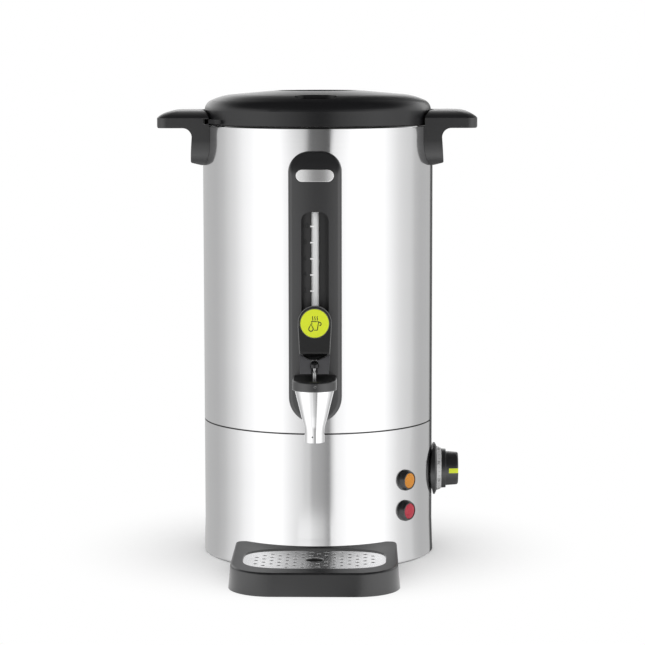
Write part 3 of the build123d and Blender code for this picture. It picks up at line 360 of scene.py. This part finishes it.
def ranged(tree, value, start, end, low, high, interpolation="LINEAR"):
    """Low before the start, high after the end, and a slope between them."""
    node = add_node(tree, "ShaderNodeMapRange", interpolation_type=interpolation)
    feed_named(tree, node, {
        "Value": value, "From Min": start, "From Max": end, "To Min": low, "To Max": high,
    })
    return node.outputs["Result"]


def split(tree, vector):
    node = add_node(tree, "ShaderNodeSeparateXYZ")
    feed(tree, vector, node.inputs["Vector"])
    return node.outputs["X"], node.outputs["Y"], node.outputs["Z"]


def object_vector(tree, scale=(1, 1, 1)):
    place = add_node(tree, "ShaderNodeTexCoord")
    mapping = add_node(tree, "ShaderNodeMapping")
    feed_named(tree, mapping, {"Vector": place.outputs["Object"], "Scale": scale})
    return mapping.outputs["Vector"]


def noise(tree, vector, scale, detail, roughness=0.5):
    node = add_node(tree, "ShaderNodeTexNoise")
    feed_named(tree, node, {
        "Vector": vector, "Scale": scale, "Detail": detail, "Roughness": roughness,
    })
    return node.outputs["Fac"]


def bump(tree, height, distance, strength=1.0, under=None):
    """Normal of a relief, on top of another normal where one is given."""
    node = add_node(tree, "ShaderNodeBump")
    feed_named(tree, node, {"Height": height, "Distance": distance, "Strength": strength})
    if under is not None:
        feed(tree, under, node.inputs["Normal"])
    return node.outputs["Normal"]


def mixed(tree, mask, first, second):
    """The first colour where the mask is 0, and the second where it is 1."""
    node = add_node(tree, "ShaderNodeMix", data_type="RGBA")
    feed_named(tree, node, {"Factor": mask, "A": first, "B": second})
    return node.outputs["Result"]


def place_group(tree, group, vector, settings=None):
    """Puts a node group into a material with its own settings, and gives its outputs."""
    node = add_node(tree, "ShaderNodeGroup", node_tree=group)
    feed_named(tree, node, {"Vector": vector, **(settings or {})})
    return node.outputs


def moulded_grain():
    """Fine spark-eroded texture of moulded plastic, with slow patches of gloss."""
    if "moulded_grain" in bpy.data.node_groups:
        return bpy.data.node_groups["moulded_grain"]
    tree, given, put = new_group(
        "moulded_grain",
        [("Vector", "NodeSocketVector", None), ("Grain", "NodeSocketFloat", 1800.0),
         ("Patch", "NodeSocketFloat", 14.0)],
        [("Height", "NodeSocketFloat"), ("Gloss", "NodeSocketFloat")],
    )
    place = given.outputs["Vector"]
    feed_named(tree, put, {
        "Height": noise(tree, place, given.outputs["Grain"], 3.0, 0.6),
        "Gloss": noise(tree, place, given.outputs["Patch"], 2.0),
    })
    return tree


def rolled_lines():
    """Fine parallel lines of rolled and brushed steel. The vector is stretched along them."""
    if "rolled_lines" in bpy.data.node_groups:
        return bpy.data.node_groups["rolled_lines"]
    tree, given, put = new_group(
        "rolled_lines",
        [("Vector", "NodeSocketVector", None), ("Lines", "NodeSocketFloat", 1.0),
         ("Clouds", "NodeSocketFloat", 0.02)],
        [("Height", "NodeSocketFloat"), ("Streaks", "NodeSocketFloat"), ("Clouds", "NodeSocketFloat")],
    )
    place = given.outputs["Vector"]
    fine = noise(tree, place, given.outputs["Lines"], 6.0, 0.7)
    feed_named(tree, put, {
        "Height": fine,
        "Streaks": ranged(tree, fine, 0.35, 0.65, 0.0, 1.0),
        "Clouds": noise(tree, place, given.outputs["Clouds"], 2.0),
    })
    return tree


def face_crown():
    """Height of a gently crowned face, which falls off with the square of X and of Y."""
    if "face_crown" in bpy.data.node_groups:
        return bpy.data.node_groups["face_crown"]
    tree, given, put = new_group(
        "face_crown",
        [("Vector", "NodeSocketVector", None), ("Fall in X", "NodeSocketFloat", 0.0),
         ("Fall in Y", "NodeSocketFloat", 0.0)],
        [("Height", "NodeSocketFloat")],
    )
    x, y, _ = split(tree, given.outputs["Vector"])
    across = maths(tree, "MULTIPLY", maths(tree, "MULTIPLY", x, x), given.outputs["Fall in X"])
    along = maths(tree, "MULTIPLY", maths(tree, "MULTIPLY", y, y), given.outputs["Fall in Y"])
    fall = maths(tree, "ADD", across, along)
    feed(tree, maths(tree, "MULTIPLY", fall, -1.0), put.inputs["Height"])
    return tree


def crown_normal(tree, crown, under=None):
    """Normal of a crowned face, from the falls that face_crown takes."""
    height = place_group(tree, face_crown(), object_vector(tree), crown)["Height"]
    return bump(tree, height, 1.0, under=under)


def scaled(colour, factor):
    return tuple(min(1.0, c * factor) for c in colour)


def new_material(name, colour, roughness, metallic=0.0):
    made = bpy.data.materials.new(name)
    made.use_nodes = True
    tree = made.node_tree
    shader = tree.nodes["Principled BSDF"]
    feed_named(tree, shader, {
        "Base Color": (*colour, 1), "Roughness": roughness, "Metallic": metallic,
    })
    return made, tree, shader


def tint(tree, mask, shader, colour, share):
    """Lets the base colour vary by a share, darker where the mask is 0 and lighter where it is 1."""
    dark, light = (*scaled(colour, 1 - share), 1), (*scaled(colour, 1 + share), 1)
    feed(tree, mixed(tree, mask, dark, light), shader.inputs["Base Color"])


def paint_over(tree, shader, mask, colour):
    """Covers the shader's tinted base colour with another colour where the mask is 1."""
    base = shader.inputs["Base Color"]
    feed(tree, mixed(tree, mask, base.links[0].from_socket, (*colour, 1)), base)


def painted_shade_band(tree, shader, low, high):
    """Dark band without metal between two heights, as painted shade: in the groove of a joint, and on the
    walls of holes.
    """
    _, _, z = split(tree, object_vector(tree))
    inside = maths(tree, "COMPARE", z, (low + high) / 2, (high - low) / 2)
    paint_over(tree, shader, inside, SHADE_DARK)
    feed(tree, ranged(tree, inside, 0.0, 1.0, 1.0, 0.0), shader.inputs["Metallic"])


def steel_material(name, colour, roughness, stretch, joint=None):
    """Rolled metal. Stretch scales its lines along X, Y and Z, and the last argument gives the heights of
    a dark band of painted shade.
    """
    made, tree, shader = new_material(name, colour, roughness, 1.0)
    rolled = place_group(tree, rolled_lines(), object_vector(tree, stretch))
    feed_named(tree, shader, {
        "Normal": bump(tree, rolled["Height"], LINE_DEPTH, 0.4),
        "Roughness": ranged(tree, rolled["Streaks"], 0.0, 1.0, roughness * 0.85, roughness * 1.2),
    })
    tint(tree, rolled["Clouds"], shader, colour, 0.03)
    if joint is not None:
        painted_shade_band(tree, shader, *joint)
    return made


def spout_material(colour):
    """Polished steel with the small dark head of the spout's pin."""
    made = steel_material("polished_steel", colour, 0.07, (9, 9, 700))
    tree = made.node_tree
    from_pin = vector_maths(tree, "SUBTRACT", object_vector(tree), PIN_HEAD)
    flat = vector_maths(tree, "MULTIPLY", from_pin, (1, 0, 1))
    head = maths(tree, "LESS_THAN", vector_maths(tree, "LENGTH", flat), PIN_HEAD_RADIUS)
    paint_over(tree, tree.nodes["Principled BSDF"], head, PIN_DARK)
    return made


def plastic_material(name, colour, roughness, grain=1800.0, depth=0.00003, specular=0.4,
                     crown=None, edge=None):
    """Moulded plastic. The crown curves a flat face, and the edge is the radius of its softened edges,
    which catch the light and also get a painted highlight.
    """
    made, tree, shader = new_material(name, colour, roughness)
    moulded = place_group(tree, moulded_grain(), object_vector(tree), {"Grain": grain})
    normal = None
    if edge is not None:
        soft = add_node(tree, "ShaderNodeBevel", samples=8)
        soft.inputs["Radius"].default_value = edge
        normal = soft.outputs["Normal"]
    if crown is not None:
        normal = crown_normal(tree, crown, normal)
    feed_named(tree, shader, {
        "Specular IOR Level": specular,
        "Normal": bump(tree, moulded["Height"], depth, 0.5, normal),
        "Roughness": ranged(tree, moulded["Gloss"], 0.0, 1.0, roughness * 0.9, roughness * 1.1),
    })
    tint(tree, moulded["Gloss"], shader, colour, 0.07)
    # Painted highlight on the softened edges, besides the light that their softened normal catches
    if edge is not None:
        paint_edge_highlight(tree, shader, soft.outputs["Normal"])
    return made


def paint_edge_highlight(tree, shader, soft):
    """Paints a highlight on the edges, where the softened normal turns away from the plain one."""
    plain = add_node(tree, "ShaderNodeNewGeometry").outputs["Normal"]
    turn = vector_maths(tree, "DOT_PRODUCT", soft, plain)
    paint_over(tree, shader, ranged(tree, turn, *EDGE_TURN, 0.0, 1.0), EDGE_HIGHLIGHT)


def lever_material(colour, pale):
    """Lever plastic, whose front is deep black and whose tongue under the thumb edge is painted paler, as
    the light that falls on it from above.
    """
    made = plastic_material("lever_plastic", colour, 0.34, specular=0.75, edge=0.0015)
    tree = made.node_tree
    x, _, z = split(tree, object_vector(tree))
    rise = maths(tree, "MULTIPLY", maths(tree, "MULTIPLY", x, x), TONGUE_RISE / TONGUE_HALF ** 2)
    # Painted light: the tongue below a curve that follows the shade under the thumb edge is painted paler
    tongue = maths(tree, "LESS_THAN", z, maths(tree, "ADD", rise, TONGUE_TOP))
    paint_over(tree, tree.nodes["Principled BSDF"], tongue, pale)
    return made


def tray_material(colour):
    """Tray plastic, whose basin under the grid is matt and painted dark, as shade."""
    made = plastic_material("tray_plastic", colour, 0.36, specular=0.8)
    tree = made.node_tree
    shader = tree.nodes["Principled BSDF"]
    place = split(tree, object_vector(tree))
    low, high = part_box("drip_grid")
    basin = maths(tree, "LESS_THAN", place[2], low[2])
    for axis in (0, 1):
        middle, half = (low[axis] + high[axis]) / 2, (high[axis] - low[axis]) / 2
        basin = maths(tree, "MULTIPLY", basin, maths(tree, "COMPARE", place[axis], middle, half))
    # Painted shade: the basin under the grid is painted near black
    paint_over(tree, shader, basin, BASIN_SHADE)
    gloss = shader.inputs["Roughness"]
    feed(tree, maths(tree, "MAXIMUM", gloss.links[0].from_socket, basin), gloss)
    return made


def assign(material, *names):
    for name in names:
        mesh = nodes[name].data
        mesh.materials.clear()
        mesh.materials.append(material)


# Finishes of the carried-over nodes


class URN_OT_steel(bpy.types.Operator):
    """Gives the tank, the skirt and the other metal parts their finishes"""

    bl_idname = "urn.steel"
    bl_label = "Steel finishes"

    def execute(self, context):
        colours = context.scene.urn_colours
        steel = tuple(colours.steel)
        bright = tuple(colours.bright_steel)
        aluminium = tuple(colours.aluminium)
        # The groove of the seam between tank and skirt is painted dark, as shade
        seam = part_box("base_skirt")[1][2]
        joint = (seam - 0.0002, seam + 0.0011)
        assign(steel_material("satin_steel", steel, 0.12, (6, 6, 900), joint), "tank", "base_skirt")
        low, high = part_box("drip_grid")
        # The walls of the grid's holes are painted dark, as shade
        holes = (low[2] - 0.0005, high[2] - 0.00012)
        grid = steel_material("grid_steel", scaled(bright, 1.1), 0.24, (60, 900, 900), holes)
        assign(grid, "drip_grid")
        assign(spout_material(bright), "spout")
        assign(steel_material("stem_steel", scaled(bright, 0.45), 0.25, EVEN_STRETCH), "valve_stem")
        assign(
            steel_material("turned_steel", scaled(bright, 0.85), 0.3, EVEN_STRETCH),
            "tie_rods", "tie_nuts", "heating_element", "boil_dry_cutout", "capillary_bulb",
            "thermostat_screws", "thermostat_spindle", "panel_screws", "tank_nipple", "outlet_nut",
            "stem_spring", "lever_pin", "handle_screws", "lid_liner", "liner_screws",
        )
        assign(steel_material("dark_pin", scaled(steel, 0.15), 0.4, EVEN_STRETCH), "spout_pin")
        assign(steel_material("satin_aluminium", aluminium, 0.3, (900, 30, 900)), "heat_spreader")
        ring, _, _ = new_material("dial_metal", scaled(aluminium, 0.75), 0.5, 0.35)
        assign(ring, "dial_ring")
        badge, tree, shader = new_material("badge_metal", tuple(colours.badge), 0.26, 1.0)
        feed(tree, crown_normal(tree, {"Fall in X": 5.2}), shader.inputs["Normal"])
        assign(badge, "badge_plate")
        return {"FINISHED"}


class URN_OT_plastics(bpy.types.Operator):
    """Gives the moulded plastic, silicone and rubber parts their finishes"""

    bl_idname = "urn.plastics"
    bl_label = "Plastic finishes"

    def execute(self, context):
        colours = context.scene.urn_colours
        plastic = tuple(colours.plastic)
        assign(
            plastic_material("black_plastic", plastic, 0.36, specular=0.8),
            "base_moulding", "thermostat_body", "knob_bezel", "knob", "cord_gland", "gland_nut",
            "right_handle", "left_handle", "amber_lamp_bezel", "amber_lamp_nut", "red_lamp_bezel",
            "red_lamp_nut",
        )
        assign(tray_material(plastic), "drip_tray")
        assign(plastic_material("tap_plastic", plastic, 0.34, specular=0.9, edge=0.0012), "tap_body")
        crown = {"Fall in X": 4.2}
        # The panel is painted lighter than the black plastic, as painted light on it and its recess
        pale = scaled(plastic, 1.3)
        assign(plastic_material("panel_plastic", pale, 0.32, specular=0.85, crown=crown), "tap_panel")
        # The lever's tongue is painted paler than its front, as light from above
        assign(lever_material(scaled(plastic, 0.75), scaled(plastic, 6.0)), "lever")
        dome = {"Fall in X": 1.2, "Fall in Y": 1.2}
        lid = plastic_material("lid_plastic", tuple(colours.lid), 0.30, specular=0.5, crown=dome)
        assign(lid, "lid", "stem_head")
        emblem = plastic_material("yellow_green_plastic", tuple(colours.emblem), 0.3, 900.0, 0.00001)
        assign(emblem, "lever_badge", "knob_pointer")
        assign(
            plastic_material("silicone", (0.62, 0.62, 0.60), 0.6),
            "tube_seal_lower", "tube_seal_upper", "outlet_seal", "valve_washer", "handle_seals",
            "lid_gasket",
        )
        white = plastic_material("white_plastic", (0.75, 0.75, 0.73), 0.5)
        assign(white, "terminal_block", "valve_seat")
        assign(plastic_material("rubber", (0.02, 0.02, 0.02), 0.7), "foot_ring")
        return {"FINISHED"}


class URN_OT_lamps_and_glass(bpy.types.Operator):
    """Gives the two lamp lenses and the sight tube their finishes"""

    bl_idname = "urn.lamps_and_glass"
    bl_label = "Lamps and glass"

    def execute(self, context):
        colours = context.scene.urn_colours
        for name, colour in (("amber", tuple(colours.amber)), ("red", tuple(colours.red))):
            made, tree, shader = new_material(name + "_lens", colour, 0.2)
            moulded = place_group(tree, moulded_grain(), object_vector(tree), {"Grain": 420.0})
            feed_named(tree, shader, {
                "Transmission Weight": 0.2,
                "Specular IOR Level": 0.3,
                "Normal": bump(tree, moulded["Height"], 0.0002, 0.5),
            })
            tint(tree, moulded["Gloss"], shader, colour, 0.15)
            assign(made, name + "_lamp_lens")
        glass, tree, shader = new_material("backed_glass", (0.97, 0.98, 0.98), 0.05)
        feed_named(tree, shader, {"Transmission Weight": 0.3, "IOR": 1.47})
        assign(glass, "sight_tube")
        return {"FINISHED"}


# Markings


class URN_OT_sight_stripe(bpy.types.Operator):
    """Puts the white enamel stripe into the back of the sight tube"""

    bl_idname = "urn.sight_stripe"
    bl_label = "Sight tube stripe"

    def execute(self, context):
        low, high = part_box("sight_tube")
        middle = (Vector(low) + Vector(high)) / 2
        radius = (high[0] - low[0]) / 2 - TUBE_WALL
        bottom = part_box("tube_seal_lower")[1][2] + 0.0005
        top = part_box("tube_seal_upper")[0][2] - 0.0030
        maker = bmesh.new()
        verts = [maker.verts.new((-radius, 0, z)) for z in (bottom, top)]
        edge = maker.edges.new(verts)
        bmesh.ops.spin(
            maker, geom=verts + [edge], cent=(0, 0, 0), axis=(0, 0, -1), dvec=(0, 0, 0),
            angle=math.pi, steps=24, use_merge=False, use_duplicate=False,
        )
        bmesh.ops.translate(maker, verts=maker.verts, vec=(middle.x, middle.y, 0))
        white = plastic_material("white_enamel", (0.95, 0.95, 0.95), 0.3, 600.0, 0.00001)
        piece = finish_piece("sight_stripe", maker, white, "urn_body", smooth=True)
        solid = piece.modifiers.new("Wall", "SOLIDIFY")
        solid.thickness = 0.0001
        solid.offset = 0
        return {"FINISHED"}


class URN_OT_level_marks(bpy.types.Operator):
    """Prints the level marks and their numbers beside the sight tube"""

    bl_idname = "urn.level_marks"
    bl_label = "Level marks"

    def execute(self, context):
        colours = context.scene.urn_colours
        sizes = context.scene.urn_markings
        light = plastic_material("light_print", tuple(colours.print_light), 0.5)
        # The raised numbers are painted lighter than the black plastic, as painted light on their relief
        raised = plastic_material("raised_plastic", scaled(tuple(colours.plastic), 1.6), 0.35)
        left, face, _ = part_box("sight_tube")[0]
        upright = Matrix.Rotation(math.radians(90), 4, "X")
        tick = (sizes.level_tick, 0.0003, 0.0013)
        marks = bmesh.new()
        numbers = bmesh.new()
        for i in range(sizes.level_count):
            height = sizes.level_first + i * sizes.level_step
            bar(marks, tick, Matrix.Translation((left + 0.0007, face + 0.0004, height)))
            litres = text_mesh(str(2 + 2 * i), sizes.level_text, 0.0002)
            spot = Matrix.Translation((left - 0.0058, RECESS_FLOOR - 0.0001, height))
            merge_into(numbers, litres, spot @ upright)
        finish_piece("level_marks", marks, light, "urn_body", smooth=True)
        finish_piece("level_numbers", numbers, raised, "urn_body")
        return {"FINISHED"}


class URN_OT_dial_marks(bpy.types.Operator):
    """Prints the temperature numbers and ticks on the dial ring"""

    bl_idname = "urn.dial_marks"
    bl_label = "Dial marks"

    def execute(self, context):
        colours = context.scene.urn_colours
        sizes = context.scene.urn_markings
        dark = plastic_material("dark_print", tuple(colours.print_dark), 0.5)
        low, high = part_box("dial_ring")
        middle = (Vector(low) + Vector(high)) / 2
        rear_radius, front_radius = DIAL_RADII
        lean = math.atan2(rear_radius - front_radius, high[0] - low[0])
        radius = (rear_radius + front_radius) / 2
        raised = 0.00008
        maker = bmesh.new()
        for i in range(DIAL_TICKS):
            turn = math.radians(DIAL_START + i * DIAL_STEP)
            place = (
                Matrix.Translation(middle)
                @ Matrix.Rotation(-turn, 4, "X")
                @ Matrix.Translation((0, 0, radius))
                @ Matrix.Rotation(lean, 4, "Y")
            )
            if i % DIAL_NUMBERED == 0:
                degrees = text_mesh(str(DIAL_FIRST + DIAL_PER_TICK * i), sizes.dial_text, raised)
                merge_into(maker, degrees, place @ Matrix.Rotation(math.radians(90), 4, "Z"))
            else:
                bar(maker, (sizes.dial_tick, 0.00025, raised), place)
        finish_piece("dial_marks", maker, dark, "urn_body")
        return {"FINISHED"}


class URN_OT_lever_emblem(bpy.types.Operator):
    """Draws a steaming cup and a drop in raised lines on the lever's disc"""

    bl_idname = "urn.lever_emblem"
    bl_label = "Lever emblem"

    def execute(self, context):
        colours = context.scene.urn_colours
        width = context.scene.urn_markings.emblem_line
        dark = plastic_material("emblem_lines", tuple(colours.print_dark), 0.5)
        raised = 0.00012
        cup = [
            (-0.0024, -0.0006), (-0.0030, 0.0017), (0.0036, 0.0017), (0.0024, -0.0060),
            (-0.0004, -0.0060),
        ]
        ear = arc_points((0.0036, -0.0004), 0.0023, 0.0016, -70, 100, 9)
        drop = arc_points((-0.0033, -0.0050), 0.0020, 0.0020, 150, 390, 14) + [(-0.0033, -0.0006)]
        maker = bmesh.new()
        stroke(maker, cup, width, raised)
        stroke(maker, ear, width, raised)
        for x in (-0.0020, 0.0001, 0.0022):
            steam = [
                (x + 0.00005 * i + 0.0003 * math.sin(i * 0.9), 0.0027 + i * 0.00055)
                for i in range(8)
            ]
            stroke(maker, steam, width * 0.8, raised)
        stroke(maker, drop, width, raised, closed=True)
        low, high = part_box("lever_badge")
        centre = (Vector(low) + Vector(high)) / 2
        away = Vector((0, -math.cos(LEVER_LEAN), math.sin(LEVER_LEAN)))
        face = max((vertex.co - centre).dot(away) for vertex in nodes["lever_badge"].data.vertices)
        along = Vector((1, 0, 0))
        up = away.cross(along)
        seat = centre + away * (face - 0.00004)
        place = Matrix((
            (along.x, up.x, away.x, seat.x),
            (along.y, up.y, away.y, seat.y),
            (along.z, up.z, away.z, seat.z),
            (0, 0, 0, 1),
        ))
        bmesh.ops.transform(maker, matrix=place, verts=maker.verts)
        finish_piece("lever_emblem", maker, dark, "lever")
        return {"FINISHED"}


# Studio


def studio_ramp():
    """Brightness round the studio by direction: two soft boxes, grey sides, a dark gap in front."""
    tree, given, put = new_group(
        "studio_ramp", [("Vector", "NodeSocketVector", None)], [("Colour", "NodeSocketColor")]
    )
    turned = add_node(tree, "ShaderNodeVectorRotate", rotation_type="Z_AXIS")
    feed_named(tree, turned, {
        "Vector": vector_maths(tree, "MULTIPLY", given.outputs["Vector"], (1, 1, 0)),
        "Angle": math.radians(90),
    })
    around = add_node(tree, "ShaderNodeTexGradient", gradient_type="RADIAL")
    feed(tree, turned.outputs["Vector"], around.inputs["Vector"])
    ramp = add_node(tree, "ShaderNodeValToRGB")
    feed(tree, around.outputs["Fac"], ramp.inputs["Fac"])
    ramp.color_ramp.interpolation = "LINEAR"
    elements = ramp.color_ramp.elements
    while len(elements) > 1:
        elements.remove(elements[-1])
    brightest = max(value for _, value in RAMP_STOPS)
    for i, (degrees, value) in enumerate(RAMP_STOPS):
        spot = (degrees + 180) / 360
        element = elements[0] if i == 0 else elements.new(spot)
        element.position = spot
        element.color = (value / brightest,) * 3 + (1,)
    gain = vector_maths(tree, "MULTIPLY", ramp.outputs["Color"], (brightest,) * 3)
    feed(tree, gain, put.inputs["Colour"])
    return tree


def mirrored_place(tree, place, reach):
    """Where on the light wall a ray would end that the tank's front mirrors to a place on the floor.

    Each step moves the tank's normal half the way to the one that mirrors the place forwards.
    """
    low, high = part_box("tank")
    radius = (high[0] - low[0]) / 2
    radii = (radius, radius, radius)
    ground = vector_maths(tree, "MULTIPLY", place, (1, 1, 0))
    ray = vector_maths(tree, "NORMALIZE", ground)
    facing = vector_maths(tree, "NORMALIZE", vector_maths(tree, "ADD", ray, (0, -1, 0)))
    for _ in range(4):
        surface = vector_maths(tree, "MULTIPLY", facing, radii)
        ray = vector_maths(tree, "NORMALIZE", vector_maths(tree, "SUBTRACT", ground, surface))
        half = vector_maths(tree, "NORMALIZE", vector_maths(tree, "ADD", ray, (0, -1, 0)))
        facing = vector_maths(tree, "NORMALIZE", vector_maths(tree, "ADD", facing, half))
    return vector_maths(tree, "MULTIPLY_ADD", ray, (reach, reach, reach), surface)


def glow(tree, colour=(1, 1, 1, 1), strength=1.0):
    node = add_node(tree, "ShaderNodeEmission")
    feed_named(tree, node, {"Color": colour, "Strength": strength})
    return node.outputs["Emission"]


def mixed_shader(tree, mask, first, second):
    node = add_node(tree, "ShaderNodeMixShader")
    feed_in_order(tree, node, (mask, first, second))
    return node.outputs["Shader"]


def wall_material(studio, ramp):
    """Light wall, which fades towards the ceiling and has an added band of light behind."""
    made = bpy.data.materials.new("light_wall")
    made.use_nodes = True
    tree = made.node_tree
    tree.nodes.remove(tree.nodes["Principled BSDF"])
    place = object_vector(tree)
    _, y, z = split(tree, place)
    tilted = maths(tree, "SUBTRACT", z, maths(tree, "MULTIPLY", y, WALL_TILT))
    level = ranged(tree, tilted, *WALL_FADE, 1.0, studio.ceiling)
    band = ranged(tree, y, *BAND_DEPTHS, 0.0, studio.back_band)
    for heights, shares in ((BAND_FOOT, (0.0, 1.0)), (BAND_TOP, (1.0, BAND_TOP_SHARE))):
        band = maths(tree, "MULTIPLY", band, ranged(tree, z, *heights, *shares))
    around = place_group(tree, ramp, place)["Colour"]
    light = vector_maths(tree, "MULTIPLY", around, maths(tree, "ADD", level, band))
    surface = tree.nodes["Material Output"].inputs["Surface"]
    feed(tree, glow(tree, light, studio.soft_light), surface)
    return made


def floor_material(colour, reach, ramp):
    """Pale floor, whose shadow fades to white, and which steel sees lit as the wall beside it."""
    made, tree, shader = new_material("pale_floor", colour, 0.9)
    shader.inputs["Specular IOR Level"].default_value = 0.0
    place = object_vector(tree)
    away = vector_maths(tree, "LENGTH", place)
    around = place_group(tree, ramp, mirrored_place(tree, place, reach))["Colour"]
    x, y, _ = split(tree, place)
    forward = maths(tree, "MAXIMUM", maths(tree, "MULTIPLY", y, -1.0), 0.01)
    aside = maths(tree, "DIVIDE", maths(tree, "ABSOLUTE", x), forward)
    in_gap = ranged(tree, aside, *GAP_SIDES, 1.0, 0.0)
    factor, offset, cap = (ranged(tree, away, *NEAR_FLOOR, *shares) for shares in GAP_LIFT)
    lifted = vector_maths(tree, "MULTIPLY_ADD", around, factor, offset)
    capped = vector_maths(tree, "MINIMUM", lifted, maths(tree, "MULTIPLY", in_gap, cap))
    mirrored = glow(tree, vector_maths(tree, "MAXIMUM", capped, around))
    fade = ranged(tree, away, *SHADOW_FADE, 0.0, 1.0, "SMOOTHSTEP")
    plain = mixed_shader(tree, fade, shader.outputs["BSDF"], glow(tree))
    path = add_node(tree, "ShaderNodeLightPath")
    surface = mixed_shader(tree, path.outputs["Is Glossy Ray"], plain, mirrored)
    feed(tree, surface, tree.nodes["Material Output"].inputs["Surface"])
    return made


class URN_OT_studio(bpy.types.Operator):
    """Makes the floor, the ring of soft light, the sky and the camera"""

    bl_idname = "urn.studio"
    bl_label = "Studio"

    def execute(self, context):
        scene = context.scene
        studio = scene.urn_studio
        ramp = studio_ramp()
        radius = studio.wall_radius

        maker = bmesh.new()
        outline = ((radius, 0.0), (radius, WALL_HEIGHT), (0.0, WALL_HEIGHT))
        ends = [maker.verts.new((x, 0, z)) for x, z in outline]
        edges = [maker.edges.new(pair) for pair in zip(ends, ends[1:])]
        bmesh.ops.spin(
            maker, geom=ends + edges, cent=(0, 0, 0), axis=(0, 0, 1), dvec=(0, 0, 0),
            angle=math.tau, steps=96, use_merge=True, use_duplicate=False,
        )
        light_wall = stage_piece("light_wall", maker, wall_material(studio, ramp))
        light_wall.visible_camera = False
        light_wall.visible_shadow = False
        light_wall.visible_diffuse = False

        maker = bmesh.new()
        bmesh.ops.create_grid(maker, x_segments=8, y_segments=8, size=FLOOR_REACH)
        stage_piece("floor", maker, floor_material(tuple(scene.urn_colours.floor), radius, ramp))

        # The steel mirrors neither the tray nor the knob
        for name in ("drip_tray", "drip_grid", "knob", "knob_pointer", "dial_ring"):
            nodes[name].visible_glossy = False

        world = bpy.data.worlds.new("studio_sky")
        scene.world = world
        world.use_nodes = True
        feed_named(world.node_tree, world.node_tree.nodes["Background"], {
            "Color": (1, 1, 1, 1), "Strength": studio.sky,
        })
        world.cycles_visibility.glossy = False

        lens = bpy.data.cameras.new("camera")
        lens.lens = studio.lens
        lens.sensor_width = 36.0
        lens.clip_start = 0.05
        lens.clip_end = 50.0
        camera = bpy.data.objects.new("camera", lens)
        scene.collection.objects.link(camera)
        scene.camera = camera
        turn = studio.turn
        aside = studio.distance * math.sin(turn)
        forward = -studio.distance * math.cos(turn)
        camera.matrix_world = (
            Matrix.Translation((aside, forward, studio.height))
            @ Matrix.Rotation(turn - studio.aim, 4, "Z")
            @ Matrix.Rotation(math.radians(90) - studio.pitch, 4, "X")
            @ Matrix.Rotation(studio.roll, 4, "Z")
        )
        scene.view_settings.view_transform = "Standard"
        return {"FINISHED"}


class URN_PT_panel(bpy.types.Panel):
    """Lists the urn's pieces and settings in the sidebar"""

    bl_label = "Hot water urn"
    bl_idname = "URN_PT_panel"
    bl_space_type = "VIEW_3D"
    bl_region_type = "UI"
    bl_category = "Urn"

    def draw(self, context):
        scene = context.scene
        column = self.layout.column()
        for operator in OPERATORS:
            column.operator(operator.bl_idname)
        for settings in (scene.urn_colours, scene.urn_markings, scene.urn_studio):
            box = self.layout.box()
            for name in settings.__annotations__:
                box.prop(settings, name)


SETTINGS = (UrnColours, UrnMarkings, UrnStudio)
OPERATORS = (
    URN_OT_studio,
    URN_OT_steel,
    URN_OT_plastics,
    URN_OT_lamps_and_glass,
    URN_OT_sight_stripe,
    URN_OT_level_marks,
    URN_OT_dial_marks,
    URN_OT_lever_emblem,
)


def register():
    for cls in (*SETTINGS, *OPERATORS, URN_PT_panel):
        bpy.utils.register_class(cls)
    bpy.types.Scene.urn_colours = PointerProperty(type=UrnColours)
    bpy.types.Scene.urn_markings = PointerProperty(type=UrnMarkings)
    bpy.types.Scene.urn_studio = PointerProperty(type=UrnStudio)


def unregister():
    del bpy.types.Scene.urn_studio
    del bpy.types.Scene.urn_markings
    del bpy.types.Scene.urn_colours
    for cls in reversed((*SETTINGS, *OPERATORS, URN_PT_panel)):
        bpy.utils.unregister_class(cls)


def main():
    register()
    bpy.ops.urn.studio()
    bpy.ops.urn.steel()
    bpy.ops.urn.plastics()
    bpy.ops.urn.lamps_and_glass()
    bpy.ops.urn.sight_stripe()
    bpy.ops.urn.level_marks()
    bpy.ops.urn.dial_marks()
    bpy.ops.urn.lever_emblem()


if __name__ == "__main__":
    main()
